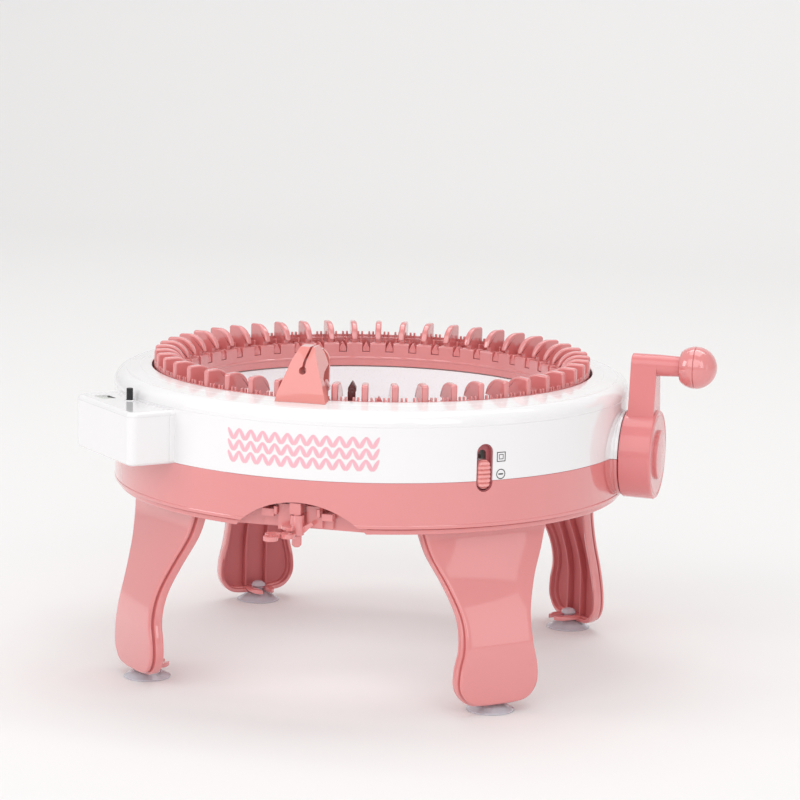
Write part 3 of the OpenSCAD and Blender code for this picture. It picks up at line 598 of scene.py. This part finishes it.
def leg(corner, azimuth):
    """Hollow leg: a flush face panel, a stepped side wall round it, two ribs and the foot tab."""
    right = spline(LEG_SIDE, 7)
    outline = right + [(-x, z) for x, z in reversed(right[1:])]
    n = len(outline)
    half = len(right)

    def ring(d):
        """The outline moved inwards, kept flat along the leg's top."""
        pts = inset(outline, d)
        fixed = []
        for (x, z), (ox, oz) in zip(pts, outline):
            if oz >= BASE_Z - 1e-6:
                x, z = ox - math.copysign(d * 1.12, ox), BASE_Z
            fixed.append((x, min(z, BASE_Z)))
        return fixed

    # (inset, depth behind the face), from the middle of the face round the edge and inside
    section = [(4.6, 0), (2.6, 0), (1.95, 0.1), (1.5, 0.35), (1.25, 0.75), (1.15, 1.3), (1.2, 1.8),
               (1.5, 2.1), (2.1, 2.2), (2.25, 2.5), (2.25, 3.1), (2.0, 3.35), (0.7, 3.4), (0.25, 3.5),
               (0.0, 3.85), (0.0, 8.3), (0.15, 8.75), (0.6, 9.0), (2.0, 9.0), (2.45, 8.8), (2.6, 8.3),
               (2.6, 6.4), (2.8, 6.1), (3.3, 6.0), (3.6, 5.7), (3.75, 4.6), (3.9, 3.4), (4.6, 3.0)]
    verts, faces = [], []
    for d, depth in section:
        verts += [(leg_face(x, z) - depth, x, z) for x, z in ring(d)]
    for k in range(len(section) - 1):
        for i in range(n):
            j = (i + 1) % n
            faces.append((k * n + i, k * n + j, (k + 1) * n + j, (k + 1) * n + i))
    across = 10
    for row in (0, len(section) - 1):
        d, depth = section[row]
        pts = ring(d)
        base = len(verts)
        for i in range(1, half):
            x, z = pts[i]
            for m in range(1, across):
                t = x * (1 - 2 * m / across)
                verts.append((leg_face(t, z) - depth, t, z))

        def at(i, m):
            """Index of the point m of the way across the face at the outline's point i."""
            if i == 0:
                return row * n
            if m == 0:
                return row * n + i
            if m == across:
                return row * n + (n - i)
            return base + (i - 1) * (across - 1) + m - 1

        for i in range(half - 1):
            for m in range(across):
                quad = (at(i, m), at(i, m + 1), at(i + 1, m + 1), at(i + 1, m))
                face = tuple(dict.fromkeys(quad))
                if len(face) > 2:
                    faces.append(face if row else face[::-1])
    parts = [raw("leg_shell", verts, faces)]
    for t in (-8, 8):
        rib_z = [RIB_Z] + [RIB_Z + (BASE_Z - 0.2 - RIB_Z) * k / 16 for k in range(1, 17)]
        rib = [(leg_n(z) - 2.6, z) for z in rib_z] + [(leg_n(z) - 7.6, z) for z in reversed(rib_z)]
        parts.append(raw("rib", *plate_data(rib, -0.75, 0.75, 0.3, 2), shifted(0, t, 0) @ FIN_WISE))
    r_out, r_in = 8.5, 3.2
    tab = [(168.6, -r_out), (168.6, r_out)] + [(CUP_N + 2, r_out)]
    tab += arc(CUP_N - 6, 0, r_out, 90, 157, 8)
    tab += [(CUP_N - 6, r_in)] + arc(CUP_N, 0, r_in, 110, -110, 14) + [(CUP_N - 6, -r_in)]
    tab += arc(CUP_N - 6, 0, r_out, 203, 270, 8) + [(CUP_N + 2, -r_out)]
    parts.append(raw("tab", *plate_data(tab, 6.4, 9.2, 0.6, 3)))
    parts.append(raw("top", *soft_box((141, -42, BASE_Z - 2.5), (149, 42, BASE_Z), 0.6)))
    ob = join(parts, "leg_shell_" + corner)
    # Faces in the edge groove and the hollow back get the darker pink: painted shade.
    inside = [in_painted_shade(p.center / MM, p.normal) for p in ob.data.polygons]
    ob.data.transform(about_z(azimuth))
    dress(ob, "pink_leg", "stand", ["leg_" + corner], 40)
    ob.data.materials.append(MAT["groove_shade_pink"])
    ob.data.polygons.foreach_set("material_index", [int(x) for x in inside])


def in_painted_shade(centre, normal):
    """Whether a face of the leg lies in its edge groove or looks into its hollow back; these faces get a
    darker pink as painted shade.
    """
    depth = leg_face(centre.y, centre.z) - centre.x
    if 2.15 < depth < 3.36:
        return True
    if depth < 2.7 or centre.z < RIB_Z:
        return False
    short_of_rim = depth < 8.5
    faces_in = normal.y * centre.y < -1
    return faces_in or short_of_rim and (normal.x < -0.3 or abs(centre.y) < 9.5)


def suction_cup(corner, azimuth):
    """Clear cup: thin flared skirt, neck through the leg's tab and a mushroom head above it."""
    profile = [(0, 3.4), (4, 3.2), (8, 2.5), (11.5, 1.4), (13.6, 0.25), (14.2, 0.0), (14.75, 0.05),
               (15.0, 0.4), (14.7, 0.85), (13.2, 1.6), (11, 2.9), (8.2, 4.3), (5.6, 5.3), (3.6, 5.9),
               (3.05, 6.3), (2.95, 7.0), (2.95, 9.2), (3.3, 9.42), (4.3, 9.5), (4.85, 9.9),
               (4.95, 10.6), (4.4, 11.6), (3.4, 12.6), (2.0, 13.2), (0, 13.4)]
    cup = raw("suction_cup_clear_" + corner, *turned(spline(profile, 2), 72), about_z(azimuth, CUP_N))
    dress(cup, "clear_pvc", "stand", ["suction_cup_" + corner], 50)


# ---------------------------------------------------------------- needle ring
def fin_outline():
    """Petal blade: upright outer edge, flat top, quarter-round inner edge and an undercut foot."""
    top = FIN_TOP_Z
    corner_r, petal_r = 1.9, 12.6
    pts = [(FIN_OUT_R, BLOCK_Z - 2), (FIN_OUT_R, top - 2.2)]
    pts += arc(FIN_OUT_R - corner_r, top - 2.1, corner_r, 10, 80, 5)
    pts += arc(134.3, top - petal_r, petal_r, 90, 172, 18)
    return pts + [(122.3, top - 11.3), (125.3, top - 11.3), (125.9, BLOCK_Z - 2)]


def ring_block():
    """Slotted block with an outer ledge: each slot opens upwards and has a channel under it."""
    ledge, step = 141.1, 139.3
    profile = rounded([(125.5, RING_Z), (ledge, RING_Z), (ledge, 190.7), (140.5, 190.7), (140.5, 189),
                       (step, 189), (step, BLOCK_Z), (THROAT_R + 0.5, BLOCK_Z),
                       (THROAT_R + 0.5, 177.6), (THROAT_R - 0.1, 177.1), (THROAT_R - 0.1, 176.3),
                       (THROAT_R + 0.3, 175.7), (THROAT_R + 0.3, RING_Z)],
                      [0.4, 0.4, 0.25, 0.25, 0.3, 0.5, 0.3, 0.9, 0.2, 0.35, 0.35, 0.3, 0.4], 4)
    ring = raw("fin_ring_base", *turned(profile, 480))
    inner, below, above = 119, 165, 196
    slot = [(inner, SLOT_Z), (CHANNEL_IN_R, SLOT_Z), (CHANNEL_IN_R, below), (CHANNEL_OUT_R, below),
            (CHANNEL_OUT_R, SLOT_Z), (SLOT_OUT_R, SLOT_Z), (SLOT_OUT_R, above), (inner, above)]
    slots = [raw("slot", *plate_data(slot, -SLOT_W / 2, SLOT_W / 2, 0),
                 place=about_z(NEEDLE_A0 + STEP * k) @ FIN_WISE) for k in range(NEEDLES)]
    cut(ring, join(slots, "slots"))
    bevel(ring, 0.4, 2, 50)
    flat = ring.modifiers.new("flat", "TRIANGULATE")
    flat.min_vertices = 5
    apply(ring)
    dress(ring, "pink_ring", "ring", ["fin_ring"], 40)
    weigh(ring)


def ring_fittings():
    """Blades between the needles, pads at their feet, and each needle's guide posts and nibs."""
    fins, pads, posts = [], [], []
    post_t, nib_t = 5.2, 2.45
    nib = rounded([(131.6, 186), (138.2, 186), (138.2, 187.6), (133.6, 189.8), (132.2, 190.2),
                   (131.6, 189.6)], 0.35, 3)
    pad = rounded(rect(123.3, -4.3, 129.2, 4.3), 0.8, 3)
    for k in range(NEEDLES):
        fin = about_z(FIN_A0 + STEP * k)
        fins.append(raw("fin", *plate_data(fin_outline(), -FIN_HALF, FIN_HALF, 1.35, 5),
                        place=fin @ FIN_WISE))
        pads.append(raw("pad", *plate_data(pad, BLOCK_Z - 0.6, BLOCK_Z + 0.3, 0.25, 2), place=fin))
        needle = NEEDLE_A0 + STEP * k
        for t in (-post_t, -nib_t, nib_t, post_t):
            posts.append(raw("post", *soft_box((139.45, -0.68, 186), (140.95, 0.68, 193), 0.3),
                             place=about_z(needle) @ shifted(0, t, 0)))
            if abs(t) == nib_t:
                posts.append(raw("nib", *plate_data(nib, -0.6, 0.6, 0.25, 2),
                                 place=about_z(needle + math.copysign(1.72, t)) @ FIN_WISE))
    blades = join(fins, "fin_blades")
    dress(blades, "pink_ring", "ring", ["fins"], 40)
    weigh(blades)
    dress(join(posts + pads, "fin_ring_posts"), "pink_ring", "ring", ["fin_ring"], 40)


def needle_mesh(index, lift):
    """Flat spring-plastic needle: blade with a pointed spade head, ridge on its inner face, butt
    at its foot, and the hooked beak that reaches into the slot."""
    half, shoulder = 2.4, 181.2
    head = [(-half, 124), (half, 124), (half, shoulder), (1.75, 183.6), (0.75, 186.2), (0.35, 186.85),
            (0, 187), (-0.35, 186.85), (-0.75, 186.2), (-1.75, 183.6), (-half, shoulder)]
    head = rounded(head, [0.6, 0.6, 0.6] + [0] * 7 + [0.6], 3)
    blade = raw("blade", *plate_data(head, 128.2, 130.7, 0.45, 3), place=STAND)
    ridge = rounded([(-0.55, 172), (0.55, 172), (0.55, 184), (0, 186.2), (-0.55, 184)], 0.15, 2)
    rib = raw("ridge", *plate_data(ridge, 128.0, 128.6, 0.25, 2), place=STAND)
    butt = raw("butt", *soft_box((130.2, -2.2, 137), (139.8, 2.2, 142), 0.4))
    hook = rounded([(-2.45, shoulder), (2.45, shoulder), (2.45, 183.6), (0.45, 187.3), (0, 187.7),
                    (-0.45, 187.3), (-2.45, 183.6)], 0.25, 2)
    beak = raw("beak", *plate_data(hook, 123.3, 128.6, 0.35, 3), place=STAND)
    ob = join([blade, rib, butt, beak], "needle")
    ob.data.transform(about_z(NEEDLE_A0 + STEP * index, 0, lift))
    return ob


def needles():
    """The needles that stay down as one piece, and the raised ones each on their own body."""
    lifted = [index for index, lift in LIFTS.values()]
    rest = join([needle_mesh(k, 0) for k in range(NEEDLES) if k not in lifted], "needles_at_rest")
    dress(rest, "pink_needle", "ring", ["needles"], 40)
    for name, (index, lift) in LIFTS.items():
        ob = needle_mesh(index, lift)
        ob.name = name + "_blade"
        mat = "marker_needle" if name == "marker_needle" else "pink_needle"
        dress(ob, mat, name + "_body", [name], 40)


# ---------------------------------------------------------------- crank
def crank():
    """Hub, tapered arm and handle as one casting, and the cap over the screw."""
    x0, x1 = HUB_X0, HUB_X1
    place = shifted(0, 0, SEAM_Z) @ X_AXIS
    profile = rounded([(0, x0), (28.1, x0), (28.5, x1 - 1.1), (27.6, x1), (26.2, x1),
                       (25.9, x1 - 0.35), (25.2, x1 - 0.35), (24.9, x1), (0, x1)],
                      [0, 0.9, 0.5, 0.35, 0.1, 0.1, 0.1, 0.1, 0], 4)
    hub = raw("hub", *turned(profile, 192), place=place)
    end_r = 6.9
    arm_outline = [(-13.8, SEAM_Z + 14), (-end_r, HANDLE_Z)] + arc(0, HANDLE_Z, end_r, 176, 4, 20)
    arm_outline += [(13.8, SEAM_Z + 14)]
    arm = raw("arm", *plate_data(arm_outline, 171.9, 188.6, 0.6, 4), place=STAND)
    profile = rounded([(0, 180), (end_r, 180), (end_r, 189), (6.4, 202.6), (0, 202.6)],
                      [0, 0, 8, 0.5, 0], 4)
    handle = raw("handle", *turned(profile, 96), place=shifted(0, 0, HANDLE_Z) @ X_AXIS)
    cut(hub, arm, "UNION")
    cut(hub, handle, "UNION")
    hub.name = "crank_casting"
    bevel(hub, 0.7, 3, 50)
    apply(hub)
    dress(hub, "pink_crank", "crank", ["crank_arm"], 38)
    weigh(hub)
    profile = rounded(rect(0, x1 - 1, 15.8, x1 + 2), [0, 0, 0.9, 0], 5)
    cap = raw("crank_cap_disc", *turned(profile, 128), place=place)
    dress(cap, "pink_crank", "crank", ["crank_cap"], 38)


def knob():
    """Ball knob in two halves that meet in a fine groove."""
    cx, r, end = 212.4, 13.5, 203.3
    a_end = math.degrees(math.acos((end - cx) / r))
    place = shifted(0, 0, HANDLE_Z) @ X_AXIS

    def cap_profile(a0, a1):
        """Points (radius, x) of the ball between two angles from its outer pole."""
        angles = [math.radians(a0 + (a1 - a0) * k / 40) for k in range(41)]
        return [(r * math.sin(a), cx + r * math.cos(a)) for a in angles]

    lip = [(r - 0.12, cx + 0.3), (r - 0.3, cx + 0.16), (r - 0.75, cx + 0.12), (r - 0.75, cx)]
    outer = [(0, cx + r)] + cap_profile(0.001, 87.6) + lip + [(0, cx)]
    ob = raw("knob_outer_shell", *turned(outer, 160), place=place)
    dress(ob, "pink_shell", "knob", ["knob_outer_half"], 38)
    inner = [(0, cx)] + [(a, 2 * cx - b) for a, b in reversed(lip)] + cap_profile(92.4, a_end)
    last = inner[-1]
    inner += [(last[0] - 0.25, end - 0.2), (last[0] - 0.9, end - 0.3), (0, end - 0.3)]
    ob = raw("knob_inner_shell", *turned(inner, 160), place=place)
    dress(ob, "pink_shell", "knob", ["knob_inner_half"], 38)


# ---------------------------------------------------------------- selector
def selector():
    """Recessed bezel, and the slider with its round-ended grip ribbed across."""
    # The bezel takes the darker maroon pink: painted shade of the recess.
    cad_copy("selector_bezel", "recess_shade_pink", "stand", 0.15)
    z0, z1, half = 140.5, 158.5, 4.55
    back, skirt, rib_height, rib_pitch = 163.2, 1.1, 1.8, 2.66
    rows, across = 90, 16
    verts, faces = [], []
    for i in range(rows + 1):
        z = z0 + (z1 - z0) * i / rows
        c = min(max(z, z0 + half), z1 - half)
        w = math.sqrt(max(half * half - (z - c) ** 2, 0.02))
        wave = abs(math.sin(math.pi * (z - z0 - 1.0) / rib_pitch)) ** 0.6
        end = min(1.0, 1.4 * math.sqrt(max(0.0, 1 - abs((z - c) / half) ** 4)))
        for j in range(across + 1):
            u = -1 + 2 * j / across
            side = math.sqrt(max(0.0, 1 - abs(u) ** 8))
            verts.append((164.6 + (skirt + rib_height * wave) * end * side, w * u, z))
    n = len(verts)
    verts += [(back, v[1], v[2]) for v in verts]
    span = across + 1
    for i in range(rows):
        for j in range(across):
            a = i * span + j
            faces.append((a, a + 1, a + span + 1, a + span))
            faces.append((n + a, n + a + span, n + a + span + 1, n + a + 1))
        for j in (0, across):
            a = i * span + j
            faces.append((a, a + span, n + a + span, n + a))
    for i in (0, rows):
        for j in range(across):
            a = i * span + j
            faces.append((a, n + a, n + a + 1, a + 1))
    stem = raw("stem", *box_data((159.2, -2.2, 146), (163.4, 2.2, 152)))
    ob = join([raw("grip", verts, faces), stem], "selector_slider")
    ob.data.transform(about_z(SELECTOR_A))
    dress(ob, "pink_grip", "selector", ["selector_knob"], 50)
    marks(SELECTOR_A + 3.8)


def bent(points, azimuth, depth):
    """Outline in (tangent, height) wrapped on the drum, as a thin printed prism."""
    verts = []
    for r in (BODY_R - 0.1, BODY_R + depth):
        for t, z in points:
            a = math.radians(azimuth) + t / BODY_R
            verts.append((r * math.cos(a), r * math.sin(a), z))
    n = len(points)
    faces = [tuple(range(n - 1, -1, -1)), tuple(range(n, 2 * n))]
    faces += [(i, (i + 1) % n, n + (i + 1) % n, n + i) for i in range(n)]
    return verts, faces


def stroke(points, width, azimuth, closed=False):
    """Printed line of a given width through points, one short prism a stretch."""
    obs = []
    pairs = list(zip(points, points[1:])) + ([(points[-1], points[0])] if closed else [])
    for p, q in pairs:
        a, b = Vector(p), Vector(q)
        d = (b - a).normalized()
        s = Vector((-d.y, d.x)) * width / 2
        e = d * width * 0.3
        quad = [tuple(v) for v in (a - e - s, b + e - s, b + e + s, a - e + s)]
        obs.append(raw("line", *bent(quad, azimuth, PRINT_DEPTH)))
    return obs


def marks(azimuth):
    """Two generic pictograms beside the slot: a square in a square, and a bar in a ring."""
    square_z, ring_z, h, small = 159.8, 149.2, 2.75, 1.35
    lines = stroke(rect(-h, square_z - h, h, square_z + h), 0.52, azimuth, True)
    lines += stroke(rect(-small, square_z - small, small, square_z + small), 0.4, azimuth, True)
    lines += stroke(arc(0, ring_z, 2.9, 0, 337.5, 15), 0.52, azimuth, True)
    lines += stroke([(-1.4, ring_z), (1.4, ring_z)], 0.85, azimuth)
    dress(join(lines, "selector_marks"), "dark_print_and_shade", "stand", (), 60)


def stitch_motif():
    """Generic knit-stitch pattern printed where the wall carries a decoration."""
    leaves = []
    columns, rows = 12, 3
    pitch, rise = 8.0, 6.9
    spread, length, breadth = 2.05, 4.0, 1.3
    for row in range(rows):
        for col in range(columns):
            cx = (col - (columns - 1) / 2) * pitch
            cz = MOTIF_Z + (row - (rows - 1) / 2) * rise
            for side in (-1, 1):
                lean = math.radians(90 - side * 27)
                co, si = math.cos(lean), math.sin(lean)
                pts = []
                for k in range(20):
                    a = 2 * math.pi * k / 20
                    u = length * math.cos(a)
                    v = breadth * math.sin(a) * (1 - 0.18 * math.cos(a))
                    pts.append((cx + side * spread + u * co - v * si, cz + u * si + v * co))
                leaves.append(raw("leaf", *bent(anticlockwise(pts), MOTIF_A, 0.07)))
    dress(join(leaves, "stitch_motif"), "pink_print", "stand", (), 60)


# ---------------------------------------------------------------- row counter
def counter():
    """Row counter's case with its seam, recess, battery door, display and button."""
    half, n1, z0, z1 = COUNTER_HALF, COUNTER_N, COUNTER_Z0, COUNTER_Z1
    here = about_z(COUNTER_A)

    def plate(name, outline, bottom, top, r=0, steps=3):
        return raw(name, *plate_data(outline, bottom, top, r, steps), place=here)

    case = plate("counter_case_shell", rounded(rect(158, -half, n1, half), [0, 5.5, 5.5, 0], 10),
                 z0, z1, 2.2, 6)
    cut(case, raw("drum", *turned(rect(0, 100, BODY_R - 0.3, 200), DRUM_STEPS)))
    seam = plate("seam", rounded(rect(160, -half - 4, n1 + 4, half + 4), 5, 4), z1 - 3.0, z1 - 2.75)
    core = rounded(rect(150, -half + 0.22, n1 - 0.22, half - 0.22), [0, 5.3, 5.3, 0], 10)
    cut(seam, plate("core", core, z0 - 1, z1 + 1))
    cut(case, seam)
    # Groove where the case meets the wall
    band = raw("band", *turned(rect(170.6, 100, 171.0, 200), DRUM_STEPS))
    hollow = rounded(rect(150, -half + 0.25, 240, half - 0.25), 0, 1)
    cut(band, plate("core", hollow, z0 + 0.25, z1 - 0.25))
    cut(case, band)
    cut(case, plate("window", rounded(rect(176, -28.1, 185.4, -14.3), 0.8, 4), z1 - 1.0, z1 + 3))
    button = here @ shifted(172, -3.8, 0)
    hole_r = 2.3
    rim = rounded(rect(hole_r, z1 - 1, 3.1, z1 + 0.45), [0, 0, 0.25, 0.2], 3)
    cut(case, raw("collar", *turned(rim, 64), place=button), "UNION")
    cut(case, raw("hole", *turned(rect(0, z1 - 7.2, hole_r, z1 + 2), 64), place=button))
    cut(case, plate("gap", rounded(rect(171, 6.9, 186.1, 29.1), 1, 4), z0 - 1, z0 + 0.5))
    dress(case, "white_shell", "stand", ["counter_case", "counter_base"], 32)
    weigh(case)
    leaf = rounded(rect(171.25, 7.15, 185.85, 28.85), 0.9, 4)
    dress(plate("battery_door_leaf", leaf, z0, z0 + 1.2, 0.3, 3), "white_shell", "stand",
          ["battery_door"], 32)
    glass = rounded(rect(176.05, -28.05, 185.35, -14.35), 0.7, 4)
    dress(plate("counter_display", glass, z1 - 2, z1 - 0.25, 0.15, 2), "lcd_glass", "stand",
          ["counter_lcd"], 40)
    # Painted shade: a dark strip along the display's inner edge, where its recess wall shows as a dark
    # line.
    line = rounded(rect(176.1, -25.8, 177.1, -15.2), 0.2, 2)
    dress(plate("display_shade_line", line, z1 - 0.4, z1 - 0.15), "dark_print_and_shade", "stand", (), 40)
    cap = rounded(rect(0, 173.6, 2.05, z1 + 7.8), [0, 0, 0.45, 0], 4)
    dress(raw("counter_button_cap", *turned(cap, 64), place=button), "black_button",
          "reset_button", ["counter_button"], 40)


# ---------------------------------------------------------------- the rest of the CAD nodes
def small_parts():
    """Copies with rounded edges, and plain repainting of every CAD node still on show."""
    cad_copy("yarn_feeder", "pink_feeder", "stand", 0.7, 4)
    cad_copy("tension_bracket", "pink_shell", "stand", 0.3)
    cad_copy("tension_cap", "pink_shell", "stand", 0.5)
    cad_copy("tension_lever", "pink_shell", "guide_lever", 0.45)
    cad_copy("bottom_cover", "pink_shell", "stand", 0.4)
    for part in frame["record"]["subparts"]:
        ob = frame["nodes"][part["node"]]
        if not ob.hide_render:
            ob.data.materials.clear()
            ob.data.materials.append(MAT[part["material_slot"]])


# ---------------------------------------------------------------- stage, in metres
def stage():
    """Plain pale floor that curves up into a backdrop, and soft studio light."""
    front, cove_y, cove_r, top, side = -6, 2.2, 1.2, 5, 7
    rows = [(front, 0)]
    for degrees in range(0, 91, 6):
        a = math.radians(degrees)
        rows.append((cove_y + cove_r * math.sin(a), cove_r - cove_r * math.cos(a)))
    rows.append((cove_y + cove_r, top))
    verts, faces = [], []
    for y, z in rows:
        verts += [(-side, y, z), (side, y, z)]
    for i in range(len(rows) - 1):
        faces.append((2 * i, 2 * i + 1, 2 * i + 3, 2 * i + 2))
    mesh = bpy.data.meshes.new("studio_floor")
    mesh.from_pydata(verts, [], faces)
    floor = linked("studio_floor", mesh)
    mesh.materials.append(material("studio_paper", (0.832, 0.828, 0.826), 0.75, mottle=0.004, cloud=1.5))
    smooth(mesh, 60)
    world = bpy.data.worlds.new("studio")
    world.use_nodes = True
    background = world.node_tree.nodes["Background"]
    background.inputs["Color"].default_value = (1.0, 0.99, 0.985, 1)
    background.inputs["Strength"].default_value = 0.66
    bpy.context.scene.world = world
    azimuth, height, away = math.radians(-94), math.radians(34), 3
    window = (away * math.cos(height) * math.cos(azimuth), away * math.cos(height) * math.sin(azimuth),
              away * math.sin(height) + 0.15)
    softbox("window_softbox", window, (3.5, 2.3), 28.5)
    softbox("left_softbox", (-2.4, -1.4, 1.3), (1.1, 1.3), 12)
    softbox("right_softbox", (2.0, -2.0, 1.45), (1.05, 1.9), 9)
    softbox("leg_panel", (1.92, -0.55, 0.42), (0.36, 0.75), 0.5)
    softbox("top_softbox", (0.1, 0.5, 2.8), (2.4, 2.0), 20)
    softbox("backdrop_softbox", (0, 1.5, 3.3), (4.5, 0.6), 19.5, (0, 3.2, 0.6))


def softbox(name, place, size, watts, aim=(0, 0, 0.12)):
    """A rectangular area light aimed at the machine's middle unless told otherwise."""
    data = bpy.data.lights.new(name, "AREA")
    data.shape = "RECTANGLE"
    data.size, data.size_y = size
    data.energy = watts
    ob = linked(name, data)
    ob.location = place
    ob.rotation_euler = (Vector(aim) - Vector(place)).to_track_quat("-Z", "Y").to_euler()


def camera():
    """The camera, by its place and the three directions of its picture."""
    data = bpy.data.cameras.new("camera")
    data.sensor_width = 36
    data.lens = 131.70
    data.clip_end = 50
    ob = linked("camera", data)
    right = Vector((0.963035, 0.268334, 0.023674))
    up = Vector((-0.067092, 0.153816, 0.985819))
    forward = Vector((-0.260887, 0.950967, -0.166134))
    turn = Matrix((right, up, -forward)).transposed().to_4x4()
    ob.matrix_world = Matrix.Translation((0.51604, -1.81091, 0.48557)) @ turn
    bpy.context.scene.camera = ob


make_materials()
camera()
upper_housing()
base_housing()
inner_sleeve()
for corner, azimuth in LEG_AZ.items():
    leg(corner, azimuth)
    suction_cup(corner, azimuth)
ring_block()
ring_fittings()
needles()
crank()
knob()
selector()
stitch_motif()
counter()
small_parts()
stage()
bpy.context.scene.view_settings.view_transform = "Standard"
